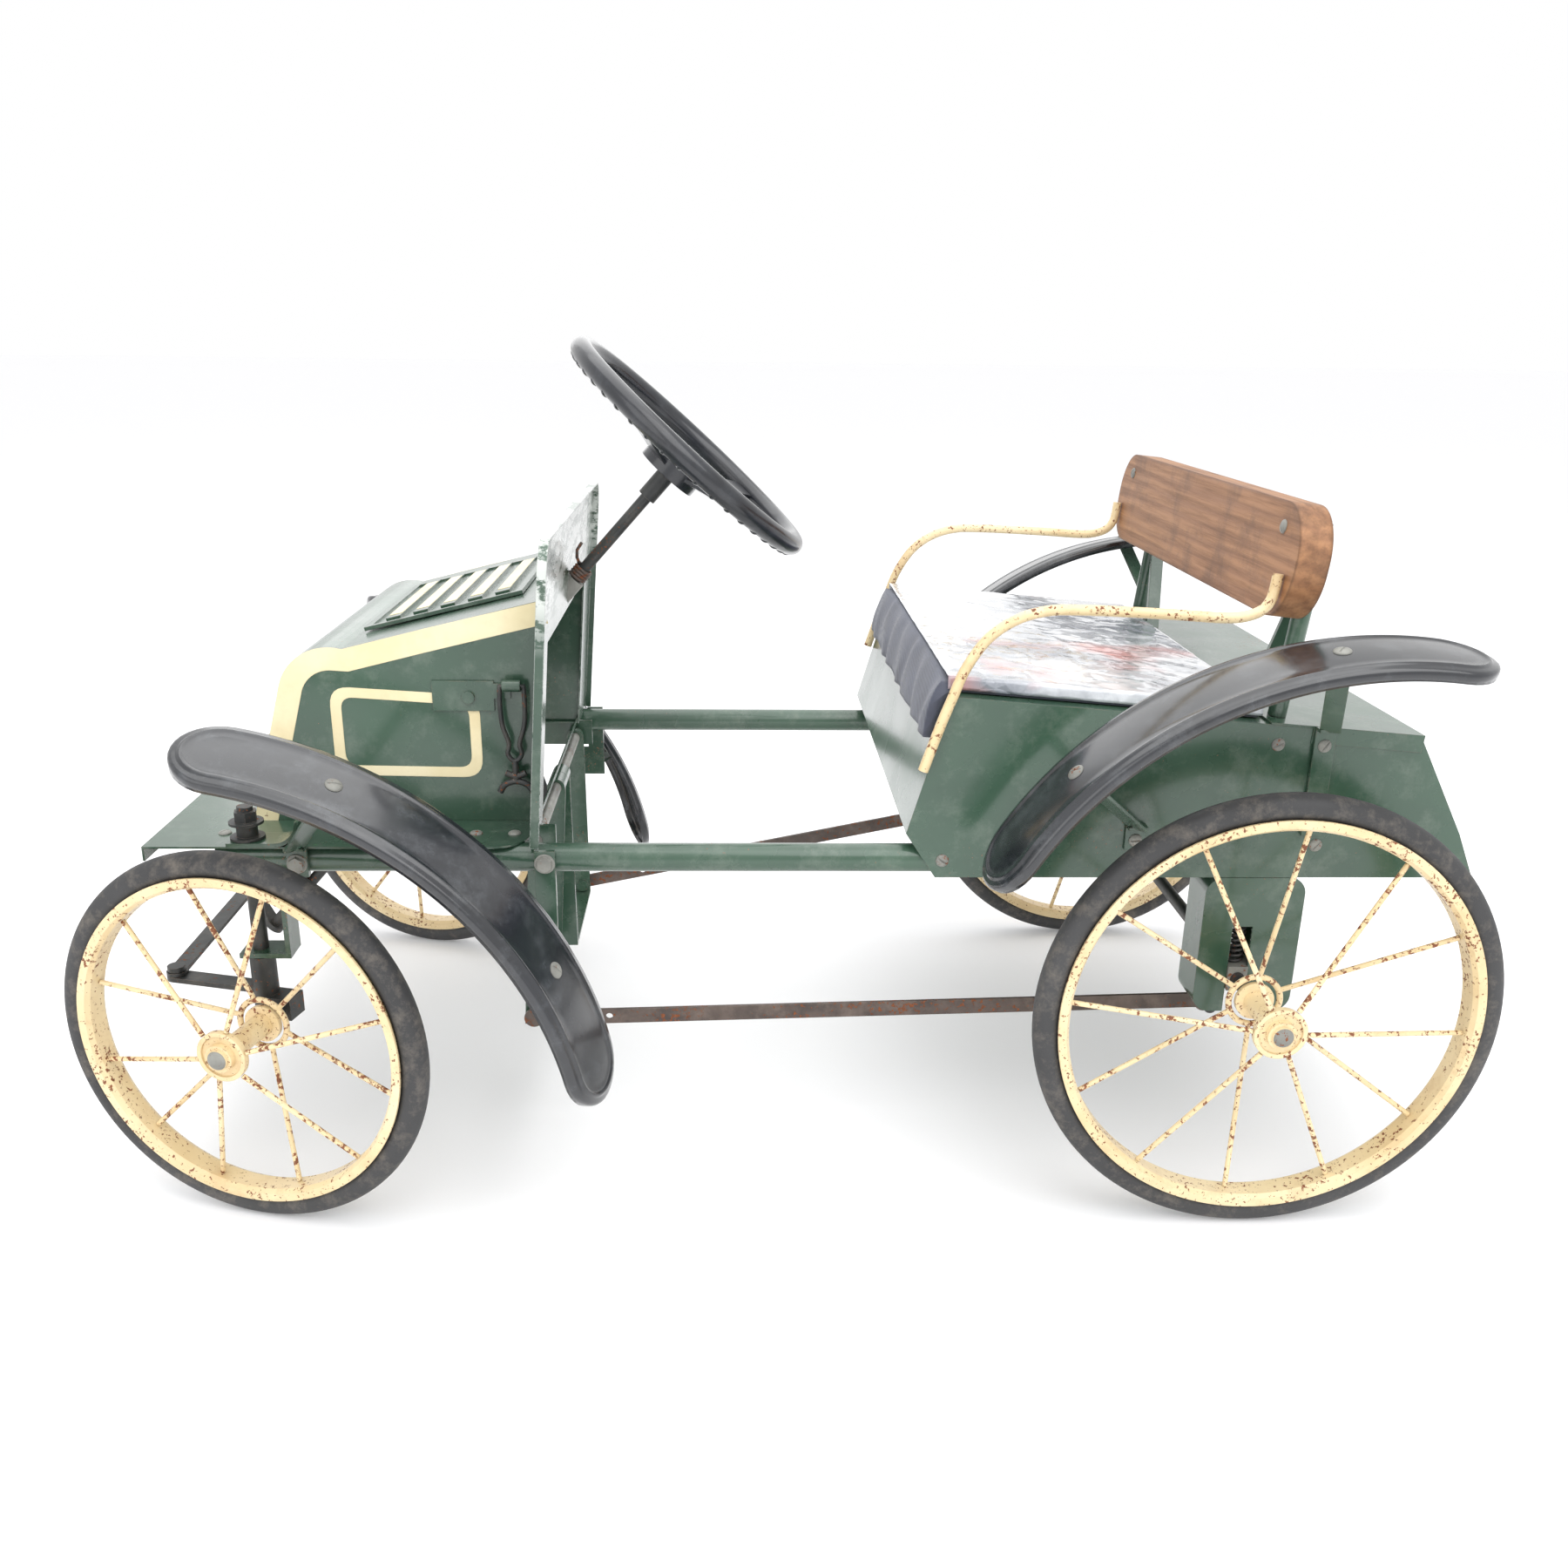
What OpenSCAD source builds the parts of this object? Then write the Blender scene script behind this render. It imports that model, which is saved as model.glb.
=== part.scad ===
// Child's veteran pedal car: tube frame, sheet bonnet and seat box, wire wheels.
// Millimetres. X runs forward, Y to the car's left, Z up, ground at Z = 0.
// Lengths along X are counted from the rear axle and moved to the frame by along_car().

/* [Wheels] */
// Distance between the front and rear wheel centres on the left side
wheelbase = 775; // [760:1:790]
// Outer radius of a rear tyre
rear_r = 178; // [175:0.5:180]
// Outer radius of a front tyre
front_r = 152; // [149:0.5:154]
// Radius of the round tyre section
tyre_r = 10.5; // [9:0.1:11]
// Distance of a rear wheel's middle plane from the car's middle
rear_track = 285; // [283:1:288]
// Number of spokes in a wheel
spoke_count = 12; // [8:2:16]
// Radius of a spoke wire
spoke_r = 2; // [1.6:0.1:2.3]

/* [Steering] */
// Angle by which the front wheels stand turned to the right
steer = 14.8; // [10:0.1:16]
// Distance of a king pin from the car's middle
kingpin_y = 205; // [203:0.5:206]
// Length of a steering arm, king pin to track rod
arm_len = 80; // [76:1:84]
// Radius of the steering wheel rim, at the middle of its section
wheel_rim_r = 118; // [112:1:122]
// Radius of the steering wheel rim's section
wheel_grip_r = 9; // [7:0.5:10]
// Slope of the steering column above the horizontal
column_slope = 48; // [47:0.5:49]
// Radius of the steering column
column_r = 5; // [4.5:0.1:6]

/* [Frame] */
// Outer radius of a frame rail
rail_r = 11.1; // [10:0.1:12]
// Height of the rails' axes
rail_z = 276; // [275:0.5:277]
// Distance of a rail's axis from the car's middle
rail_y = 204.2; // [203:0.1:204.2]
// Thickness of the body sheet
sheet = 1.5; // [1:0.1:2]

/* [Drive] */
// Throw of the crank
throw_r = 50; // [44:1:52]
// Radius of the rear axle and crank bar
bar_r = 5.5; // [5:0.1:6]
// Length of a pedal, shaft to connecting rod pin
pedal_len = 162; // [158:1:166]
// Travel of the sprung rear axle
axle_travel = 10; // [6:1:12]

/* [Seat] */
// Width of the seat box
box_w = 434; // [430:1:436]
// Length of the backrest board
board_w = 476; // [464:1:480]
// Height of the backrest board
board_h = 83; // [76:1:86]
// Thickness of the backrest board
board_t = 24; // [20:1:26]

/* [Mudguards] */
// Width of a mudguard
guard_w = 70; // [64:1:72]
// Depth of a mudguard's turned-down edge
guard_skirt = 10; // [8:1:12]
// Outward slope of the front mudguards
front_tilt = 19; // [0:1:20]
// Outward slope of the rear mudguards
rear_tilt = 8; // [0:1:10]

/* [Hidden] */
$fn = 48;

run = 0.05;                 // radial clearance of a turning fit
gap = 0.3;                  // gap between pieces that only lie close
green = "#3f5f4a";
cream = "#ead9ac";
black = "#2b2d31";
rust = "#6a4a3a";
steel = "#8d8f8c";

// Front suspension, seen from above the king pin with the wheels straight
hub_back = 17;              // wheel axis behind the king pin
hub_out = 60.7;             // wheel plane outside the king pin
kingpin_x = wheelbase + hub_back * cos(steer) - hub_out * sin(steer);
kingpin_r = 6;
arm_z = 163;                // underside of the steering arm
arm_t = 4;
rod_t = 3;                  // thickness of the flat rods

// The frame's X origin is the middle of the car's length
front_end = wheelbase + (front_r - tyre_r) * cos(steer) + tyre_r;
rear_x = -(front_end - rear_r) / 2;

// Wheel section, outwards along the axle
rim_base = tyre_r * 2 + 1.2;      // tyre outside down to the rim's seat
rim_half = 12;
flange_half = 27;                 // hub flange from the wheel's middle plane
flange_out_r = 20;
flange_in_r = 15;
hub_r = 9;
cap_end = 35;

// Tray, dash and bonnet
tray_z = rail_z + rail_r;         // underside of the tray
tray_half = 217;
tray_front = 853;
tray_rear = 562;
dash_top = 520;
dash_low_x = 559.5;
dash_lean = 4;                    // lean back from the vertical
dash_half = 217;
foot_end = 740;                   // front end of the foot opening in the tray
foot_half = 148;
foot_top = 434;                   // top of the foot opening in the dash
bonnet_half = 155;

// Steering wheel centre and column
hand_x = 440;
hand_z = 569;
column_end = 592;                 // from the wheel centre down to the crank
crank_throw = 34.4;
crank_turn = 36.4;

// Pedals
shaft_x = 562;
shaft_z = 274;
shaft_r = 5;
leg_in = 13;
leg_out = 149.5;
rod_y = 156;                      // plane of a connecting rod
pin_z = shaft_z - pedal_len;
rod_len = 572;
web_in = 125;                     // inner and outer crank webs
web_out = 170;

// Seat box outline, X and Z
box_low_front = [247, 264];
box_knee = [271, 300];
box_top_front = [240, 408];
box_top_rear = [-117, 378];
box_back = [-160, 300];
box_low_rear = [-176, 264];
box_split = -31;                  // joint between seat part and rear part
seat_back = 2;
seat_lean = 6;                    // lean of the posts and backrest
post_x = -13;
post_r = 7;
box_points = [box_low_front, box_knee, box_top_front, box_top_rear, box_back, box_low_rear];

// Axle hangers
hanger_fore = 33;
hanger_aft = -46;
hanger_in = 178;
hanger_out = 217;
hanger_low = 148;
slot_w = 16;
slot_top = 222;
block_low = 168;
block_top = 188;
spring_y = 206;

// Mudguard arcs: centre X, centre Z, radius, first and last angle
front_arc = [819, 69, 321, 94.5, 173];
rear_arc = [-56, 153, 308, 25.5, 103];
guard_y = 285;

function hyp(v) = sqrt(v[0] * v[0] + v[1] * v[1] + v[2] * v[2]);
function deck_z(x) = box_top_front[1]
    + (x - box_top_front[0]) * (box_top_rear[1] - box_top_front[1])
    / (box_top_rear[0] - box_top_front[0]);
// Step from corner i of an outline to the corner inside it, each edge moved in by its depth
function edge_way(p, i) = (p[(i + 1) % len(p)] - p[i]) / norm(p[(i + 1) % len(p)] - p[i]);
function inset_step(p, depth, i) = let (a = (i + len(p) - 1) % len(p),
    u = edge_way(p, a), v = edge_way(p, i))
    (depth[a] * v - depth[i] * u) / (u[0] * v[1] - u[1] * v[0]);
function on_arc(a, turn, r) = [a[0] + r * cos(turn), a[1] + r * sin(turn)];

// ---- helpers ----

// Moves lengths counted from the rear axle into the frame
module along_car() {
    translate([rear_x, 0, 0]) children();
}

// Draws the child on the left, and its mirror image on the right
module both_sides() {
    children();
    mirror([0, 1, 0]) children();
}

// Round bar from one point to another
module round_bar(from, to, r) {
    v = to - from;
    translate(from)
        rotate([0, acos(v[2] / hyp(v)), atan2(v[1], v[0])])
            cylinder(r = r, h = hyp(v));
}

// Flat bar from one point to another; w lies level, t across it
module flat_bar(from, to, w, t) {
    v = to - from;
    translate(from)
        rotate([0, acos(v[2] / hyp(v)), atan2(v[1], v[0])])
            translate([-t / 2, -w / 2, 0])
                cube([t, w, hyp(v)]);
}

// Cylinder along Y, from y0 to y1
module cross_rod(x, z, r, y0, y1) {
    translate([x, y0, z])
        rotate([-90, 0, 0])
            cylinder(r = r, h = y1 - y0);
}

// Outline in X and Z, made solid from y0 to y1
module side_plate(y0, y1) {
    translate([0, y1, 0])
        rotate([90, 0, 0])
            linear_extrude(y1 - y0) children();
}

// Tube swept along a list of points, with flat ends
module swept(path, r, sides) {
    n = len(path);
    ahead = [for (i = [0:n - 1]) path[min(i + 1, n - 1)] - path[max(i - 1, 0)]];
    side = [for (d = ahead) let (c = cross(d, [0.31, 0.17, 0.93])) c / hyp(c)];
    up = [for (i = [0:n - 1]) let (c = cross(side[i], ahead[i])) c / hyp(c)];
    ring = [for (i = [0:n - 1], k = [0:sides - 1])
        path[i] + r * cos(360 * k / sides) * side[i] + r * sin(360 * k / sides) * up[i]];
    wall = [for (i = [0:n - 2], k = [0:sides - 1])
        [i * sides + k, i * sides + (k + 1) % sides,
            (i + 1) * sides + (k + 1) % sides, (i + 1) * sides + k]];
    first = [for (k = [0:sides - 1]) sides - 1 - k];
    last = [for (k = [0:sides - 1]) (n - 1) * sides + k];
    polyhedron(points = ring, faces = concat(wall, [first], [last]), convexity = 6);
}

// ---- frame ----

module rail() {
    difference() {
        translate([-150, rail_y, rail_z])
            rotate([0, 90, 0])
                difference() {
                    cylinder(r = rail_r, h = 950);
                    translate([0, 0, -1])
                        cylinder(r = rail_r - 1.6, h = 952);
                }
        translate([kingpin_x, kingpin_y, rail_z - 20])
            cylinder(r = kingpin_r + run, h = 40);
    }
}

module left_rail() {
    color(green) along_car() rail();
}

module right_rail() {
    color(green) along_car() mirror([0, 1, 0]) rail();
}

module tray_outline(inset) {
    r = 28;
    translate([tray_rear + r, -tray_half + inset])
        square([tray_front - tray_rear - r - inset, (tray_half - inset) * 2]);
    translate([tray_rear + inset, -tray_half + r])
        square([r, (tray_half - r) * 2]);
    for (side = [-1, 1])
        translate([tray_rear + r, side * (tray_half - r)])
            circle(r = r - inset);
}

module front_tray() {
    color(green) along_car() difference() {
        union() {
            translate([0, 0, tray_z]) linear_extrude(sheet) tray_outline(0);
            translate([tray_front - sheet, -tray_half, tray_z - guard_skirt])
                cube([sheet, tray_half * 2, guard_skirt]);
        }
        for (side = [-1, 1])
            translate([kingpin_x, side * kingpin_y, tray_z - 1])
                cylinder(r = kingpin_r + 1, h = sheet + 2);
        translate([tray_rear - 1, -foot_half, tray_z - 1])
            cube([foot_end - tray_rear + 1, foot_half * 2, sheet + 2]);
    }
}

// Lower bearing and curled ear that hold each king pin
module kingpin_brackets() {
    low = 196;
    plate = 4;
    back = kingpin_x - 27;
    half = 13;
    ear_r = 20;
    top = tray_z + sheet;
    color(green) along_car() both_sides() {
        difference() {
            union() {
                translate([back, kingpin_y - half, low])
                    cube([plate, half * 2, rail_z - rail_r - low]);
                translate([back, kingpin_y - half, low])
                    cube([40, half * 2, plate]);
            }
            translate([kingpin_x, kingpin_y, low - 1])
                cylinder(r = kingpin_r + run, h = plate + 2);
        }
        difference() {
            union() {
                translate([back + plate, kingpin_y - half, top])
                    cube([36, half * 2, 3]);
                translate([back + plate, kingpin_y - half, top + ear_r])
                    rotate([-90, 0, 0])
                        intersection() {
                            difference() {
                                cylinder(r = ear_r, h = half * 2);
                                translate([0, 0, -1])
                                    cylinder(r = ear_r - 3, h = half * 2 + 2);
                            }
                            translate([-ear_r, 0, 0])
                                cube([ear_r, ear_r, half * 2]);
                        }
            }
            translate([kingpin_x, kingpin_y, top - 1])
                cylinder(r = kingpin_r + run, h = 5);
        }
    }
}

// ---- front body ----

// Bonnet side outline; inset takes the sheet off each face
module bonnet_outline(inset) {
    nose = 42;
    nose_x = 716;
    nose_z = 387.5;
    back_top = [547.5 + inset, 467.5 - inset];
    back_low = [559.6 + inset, tray_z + sheet - inset * 2];
    front_low = [787 - inset, tray_z + sheet - inset * 2];
    crown = [for (a = [17.5:7.25:104.5])
        [nose_x + (nose - inset) * cos(a), nose_z + (nose - inset) * sin(a)]];
    polygon(concat([back_low, front_low], crown, [back_top]));
}

module bonnet() {
    color(green) along_car() difference() {
        side_plate(-bonnet_half, bonnet_half) bonnet_outline(0);
        side_plate(-bonnet_half + sheet, bonnet_half - sheet) bonnet_outline(sheet);
        translate([500, -bonnet_half + sheet, tray_z + 6])
            cube([63, (bonnet_half - sheet) * 2, 166]);
        column_hole(9.3);
    }
}

// Raised pressing with cross slats on top of the bonnet
module louvre_panel() {
    slope = -13.6;
    long = 132;
    half = 100;
    slats = 5;
    color(cream) along_car()
        translate([572, 0, 461.9]) rotate([0, -slope, 0]) {
            difference() {
                translate([0, -half, 0]) cube([long, half * 2, 3]);
                translate([6, -half + 6, 1.4]) cube([long - 12, half * 2 - 12, 4]);
            }
            for (i = [0:slats - 1])
                translate([12 + i * 23, -half + 12, 1.4])
                    cube([12, half * 2 - 24, 3]);
        }
}

module dash_outline(half, high, r) {
    translate([-half, 0]) square([half * 2, high - r]);
    translate([-half + r, 0]) square([(half - r) * 2, high]);
    for (side = [-1, 1])
        translate([side * (half - r), high - r]) circle(r = r);
}

// Flanged panel, leaning back, open below for the feet; the column passes through it
module dash_panel() {
    high = (dash_top - tray_z) / cos(dash_lean);
    flange = 7;
    color(green) along_car() difference() {
        translate([dash_low_x, 0, tray_z + 0.1])
            rotate([0, -dash_lean, 0])
                rotate([90, 0, -90])
                    difference() {
                        linear_extrude(flange) dash_outline(dash_half, high, 24);
                        translate([0, -1, sheet])
                            linear_extrude(flange)
                                dash_outline(dash_half - sheet, high - sheet + 1, 22.5);
                        translate([-foot_half, -1, -1])
                            cube([foot_half * 2, foot_top - tray_z, sheet + 2]);
                    }
        column_hole(9);
    }
}

// ---- steering ----

module on_column() {
    translate([hand_x, 0, hand_z])
        rotate([0, column_slope - 90, 0])
            children();
}

module column_hole(r) {
    on_column() translate([0, 0, -column_end]) cylinder(r = r, h = column_end);
}

// Bush in the dash, and the hanging bracket that holds the lower end
module column_bracket() {
    low_bush = 548;
    dash_bush = 176;
    bush_x = hand_x + low_bush * cos(column_slope);
    bush_z = hand_z - low_bush * sin(column_slope);
    color(steel) along_car() difference() {
        union() {
            on_column() {
                translate([0, 0, -low_bush - 10]) cylinder(r = 10.5, h = 20);
                translate([0, 0, -dash_bush]) cylinder(r = 8.9, h = 26);
            }
            flat_bar([bush_x - 20, 0, tray_z - 1.5], [bush_x - 4, 0, bush_z], 22, 3);
            translate([bush_x - 44, -11, tray_z - 3]) cube([26, 22, 3]);
        }
        on_column()
            translate([0, 0, -column_end]) cylinder(r = column_r + run, h = column_end);
    }
}

module steering_wheel_rim() {
    color(black) along_car() on_column() {
        rotate_extrude($fn = 96) translate([wheel_rim_r, 0]) circle(r = wheel_grip_r);
    }
}

// Dished hub with flat spokes out to the rim
module steering_wheel_spider() {
    spokes = 4;
    reach = wheel_rim_r - wheel_grip_r - gap;
    hub = 27;
    color(steel) along_car() on_column()
        difference() {
            union() {
                translate([0, 0, -30]) cylinder(r = hub, h = 16);
                translate([0, 0, -14]) cylinder(r = hub - 6, h = 6);
                for (k = [0:spokes - 1])
                    rotate([0, 0, k * 360 / spokes - crank_turn])
                        flat_bar([hub - 5, 0, -22], [reach, 0, -2], 20, 3);
            }
            translate([0, 0, -50]) cylinder(r = column_r, h = 40);
        }
}

// Column with the crank that swings the track rod
module steering_column() {
    color(rust) along_car() on_column() {
        translate([0, 0, -column_end]) cylinder(r = column_r, h = column_end - 10);
        translate([0, 0, -56]) cylinder(r = 8, h = 24);
        rotate([0, 0, -crank_turn]) translate([0, 0, -column_end]) {
            translate([0, -7, 0]) cube([crank_throw, 14, 5]);
            translate([crank_throw, 0, 0]) cylinder(r = 7, h = 5);
            cylinder(r = 9.5, h = 5);
        }
    }
}

// A short wire tied round the column behind the dash
module tie_wire() {
    turns = 3;
    step = 30;
    wire_r = 1;
    loop_r = column_r + wire_r + 0.6;
    color(rust) along_car() on_column() translate([0, 0, -140])
        swept([for (a = [0:step:360 * turns])
            [loop_r * cos(a), loop_r * sin(a), 2.6 * a / 360]], wire_r, 6);
}

// King pin, stub axle and steering arm of one front wheel, drawn for the left
module knuckle(side) {
    high = tray_z + sheet + 3;
    color(black) along_car()
        translate([kingpin_x, side * kingpin_y, 0]) rotate([0, 0, -steer]) {
            translate([0, 0, 134]) cylinder(r = kingpin_r, h = high + 26 - 134);
            translate([0, 0, high + gap]) cylinder(r = 13, h = 2);
            translate([0, 0, high + 2 + gap]) cylinder(r = 8, h = 10);
            translate([0, 0, high + 12 + gap]) cylinder(r = 13, h = 2);
            translate([0, 0, high + 14 + gap]) cylinder(r = 9, h = 8, $fn = 6);
            translate([0, 0, 142]) cylinder(r = 10, h = 52);
            translate([-hub_back - 9, -10, front_r - 9]) cube([hub_back + 9, 20, 18]);
            mirror([0, side < 0 ? 1 : 0, 0])
                cross_rod(-hub_back, front_r, bar_r, -10, hub_out + 31);
            translate([0, -8, arm_z]) cube([arm_len, 16, arm_t]);
            translate([arm_len, 0, arm_z]) cylinder(r = 8, h = arm_t);
            translate([arm_len, 0, arm_z + arm_t - 0.5]) cylinder(r = 4, h = rod_t + 1.5);
            translate([arm_len, 0, arm_z + arm_t + rod_t + 0.6]) cylinder(r = 7, h = 4);
        }
}

module knuckle_left() {
    knuckle(1);
}

module knuckle_right() {
    knuckle(-1);
}

module track_rod() {
    x = kingpin_x + arm_len * cos(steer);
    y = arm_len * sin(steer);
    z = arm_z + arm_t + gap;
    color(rust) along_car() translate([x, -y, z]) difference() {
        union() {
            translate([-7, -kingpin_y, 0]) cube([14, kingpin_y * 2, rod_t]);
            for (side = [-1, 1])
                translate([0, side * kingpin_y, 0]) cylinder(r = 8, h = rod_t);
        }
        for (side = [-1, 1])
            translate([0, side * kingpin_y, -1]) cylinder(r = 4 + run, h = rod_t + 2);
    }
}

// ---- wheels ----

// Wheel pieces are drawn round Z, outside upwards, then laid along the axle
module wheel_place(front, side) {
    along_car()
        if (front)
            translate([kingpin_x, side * kingpin_y, 0])
                rotate([0, 0, -steer])
                    translate([-hub_back, side * hub_out, front_r])
                        rotate([side * -90, 0, 0]) children();
        else
            translate([0, side * rear_track, rear_r])
                rotate([side * -90, 0, 0]) children();
}

module tyre(r) {
    rotate_extrude($fn = 96) translate([r - tyre_r, 0]) circle(r = tyre_r);
}

// Channel section that holds the tyre
module rim(r) {
    base = r - rim_base;
    rotate_extrude($fn = 96)
        polygon([[base - 4, -8], [base - 4, 8], [base - 1.5, rim_half], [base + 5, rim_half],
            [base + 5, rim_half - 2], [base - 0.5, rim_half - 3.5], [base - 0.5, -rim_half + 3.5],
            [base + 5, -rim_half + 2], [base + 5, -rim_half], [base - 1.5, -rim_half]]);
}

// Spokes go in turn to the outer flange and to a wire ring at the inner one
module spokes(r, phase) {
    outside = r - rim_base - 4.6;
    step = 360 / spoke_count;
    translate([0, 0, -flange_half])
        rotate_extrude() translate([flange_out_r, 0]) circle(r = spoke_r + 0.4);
    for (k = [0:spoke_count - 1])
        rotate([0, 0, phase + k * step])
            if (k % 2 == 0)
                round_bar([flange_out_r + 0.8, 0, flange_half], [outside, 0, 2], spoke_r);
            else
                round_bar([flange_out_r, 0, -flange_half], [outside, 0, -2], spoke_r);
}

// Barrel, small inner flange, dished outer flange and domed cap
module hub() {
    difference() {
        union() {
            translate([0, 0, -flange_half - 3]) cylinder(r = hub_r, h = flange_half * 2 + 4);
            translate([0, 0, -flange_half - 2]) cylinder(r = flange_in_r, h = 4);
            translate([0, 0, flange_half - 2.5]) cylinder(r = flange_out_r, h = 5);
            translate([0, 0, flange_half]) cylinder(r = 11, h = cap_end - flange_half - 2);
            translate([0, 0, flange_half]) cylinder(r = 8, h = cap_end - flange_half);
        }
        translate([0, 0, -flange_half - 4])
            cylinder(r = bar_r + run, h = flange_half + 4 + 31.5);
        difference() {
            translate([0, 0, flange_half + 1]) cylinder(r = 16.5, h = 5);
            cylinder(r = 11, h = 60);
        }
    }
}

module front_left_tyre() {
    color(black) wheel_place(true, 1) tyre(front_r);
}

module front_left_rim() {
    color(cream) wheel_place(true, 1) rim(front_r);
}

module front_left_spokes() {
    color(cream) wheel_place(true, 1) spokes(front_r, 15);
}

module front_left_hub() {
    color(cream) wheel_place(true, 1) hub();
}

module front_right_tyre() {
    color(black) wheel_place(true, -1) tyre(front_r);
}

module front_right_rim() {
    color(cream) wheel_place(true, -1) rim(front_r);
}

module front_right_spokes() {
    color(cream) wheel_place(true, -1) spokes(front_r, 6);
}

module front_right_hub() {
    color(cream) wheel_place(true, -1) hub();
}

module rear_left_tyre() {
    color(black) wheel_place(false, 1) tyre(rear_r);
}

module rear_left_rim() {
    color(cream) wheel_place(false, 1) rim(rear_r);
}

module rear_left_spokes() {
    color(cream) wheel_place(false, 1) spokes(rear_r, -5);
}

module rear_left_hub() {
    color(cream) wheel_place(false, 1) hub();
}

module rear_right_tyre() {
    color(black) wheel_place(false, -1) tyre(rear_r);
}

module rear_right_rim() {
    color(cream) wheel_place(false, -1) rim(rear_r);
}

module rear_right_spokes() {
    color(cream) wheel_place(false, -1) spokes(rear_r, 11);
}

module rear_right_hub() {
    color(cream) wheel_place(false, -1) hub();
}

// ---- drive ----

// One bent bar: left throw down, right throw up
module crank_axle() {
    end = rear_track + 31;
    color(black) along_car() {
        cross_rod(0, rear_r, bar_r, -web_in, web_in);
        for (side = [-1, 1]) {
            pin = rear_r - side * throw_r;
            y0 = side * web_in;
            y1 = side * web_out;
            cross_rod(0, rear_r, bar_r, min(y1, side * end), max(y1, side * end));
            cross_rod(0, pin, bar_r, min(y0, y1), max(y0, y1));
            for (y = [y0, y1]) {
                translate([0, y, min(pin, rear_r)]) cylinder(r = bar_r, h = throw_r);
                for (z = [pin, rear_r])
                    translate([0, y, z]) sphere(r = bar_r);
            }
        }
    }
}

// Flat rod with an eye for the crank and a spare hole near the pedal
module connecting_rod(side) {
    pin = rear_r - side * throw_r;
    rise = pin_z - pin;
    fore = sqrt(rod_len * rod_len - rise * rise);
    slope = -atan2(rise, fore);
    color(rust) along_car()
        translate([0, side * rod_y, pin]) rotate([0, slope, 0])
            translate([0, -rod_t / 2, 0]) difference() {
                union() {
                    cross_rod(0, 0, 10, 0, rod_t);
                    translate([4, 0, -6.5]) cube([rod_len, rod_t, 13]);
                    cross_rod(rod_len, 0, 8, 0, rod_t);
                }
                cross_rod(0, 0, bar_r + run, -1, rod_t + 1);
                cross_rod(rod_len - 64, 0, 3, -1, rod_t + 1);
            }
}

module connecting_rod_left() {
    connecting_rod(1);
}

module connecting_rod_right() {
    connecting_rod(-1);
}

// Stirrup of flat strip hanging from the shaft; turn swings it forward
module pedal(side) {
    pin = rear_r - side * throw_r;
    rise = pin_z - pin;
    foot_x = sqrt(rod_len * rod_len - rise * rise);
    turn = asin((foot_x - shaft_x) / pedal_len);
    strip = 3;
    wide = 16;
    inner = leg_in + 2;
    color(green) along_car()
        translate([shaft_x, 0, shaft_z]) rotate([0, -turn, 0]) mirror([0, side < 0 ? 1 : 0, 0])
            difference() {
                union() {
                    cross_rod(0, 0, 8, gap, inner + 9);
                    cross_rod(0, 0, 8, leg_out - 9, leg_out);
                    for (y = [inner, leg_out - strip])
                        translate([-wide / 2, y, -pedal_len - 10])
                            cube([wide, strip, pedal_len + 10]);
                    translate([-wide / 2, inner, -pedal_len - 10])
                        cube([wide, leg_out - inner, strip]);
                    cross_rod(0, -pedal_len, 6, leg_out - strip - 4, leg_out + 3.5);
                }
                cross_rod(0, 0, shaft_r + run, -1, leg_out + 1);
            }
}

module pedal_left() {
    pedal(1);
}

module pedal_right() {
    pedal(-1);
}

module pedal_shaft() {
    color(steel) along_car() cross_rod(shaft_x, shaft_z, shaft_r, -161, 161);
}

// Plates under the tray that hold the shaft's ends
module shaft_brackets() {
    inner = 158.5;
    low = 262;
    color(green) along_car() both_sides() difference() {
        union() {
            translate([tray_rear - 16, inner, low]) cube([60, 3, tray_z - low]);
            translate([tray_rear + 2, inner, tray_z - 3]) cube([42, 32, 3]);
        }
        cross_rod(shaft_x, shaft_z, shaft_r, inner - 1, inner + 4);
    }
}

// Pressed box with rounded corners that guides the axle block in a slot
module hanger() {
    wall = 2;
    corner = 14;
    color(green) along_car() difference() {
        side_plate(hanger_in, hanger_out) hanger_outline(0, corner);
        side_plate(hanger_in + wall, hanger_out - wall) hanger_outline(wall, corner);
        side_plate(hanger_in + wall, hanger_out - wall)
            translate([hanger_aft + corner, hanger_low - 1])
                square([hanger_fore - hanger_aft - corner * 2, wall + 2]);
        side_plate(hanger_in - 1, hanger_out + 1)
            translate([-slot_w / 2, hanger_low - 1]) square([slot_w, slot_top - hanger_low + 1]);
    }
}

module hanger_outline(inset, corner) {
    fore = hanger_fore - inset;
    aft = hanger_aft + inset;
    low = hanger_low + inset;
    high = box_low_front[1] - gap - inset;
    r = corner - inset;
    translate([aft, low + r]) square([fore - aft, high - low - r * 2]);
    translate([aft + r, low]) square([fore - aft - r * 2, high - low]);
    for (x = [aft + r, fore - r], z = [low + r, high - r])
        translate([x, z]) circle(r = r);
}

module axle_hanger_left() {
    hanger();
}

module axle_hanger_right() {
    mirror([0, 1, 0]) hanger();
}

// Bearing blocks that slide up in the hangers
module axle_blocks() {
    half = slot_w / 2 - gap;
    color(steel) along_car() both_sides() difference() {
        union() {
            translate([-half, hanger_in - 1.5, block_low])
                cube([half * 2, hanger_out - hanger_in + 4, block_top - block_low]);
            translate([-half - 5, hanger_in + 4, block_low])
                cube([half * 2 + 10, hanger_out - hanger_in - 8, block_top - block_low]);
        }
        cross_rod(0, rear_r, bar_r + run, hanger_in - 5, hanger_out + 6);
    }
}

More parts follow.
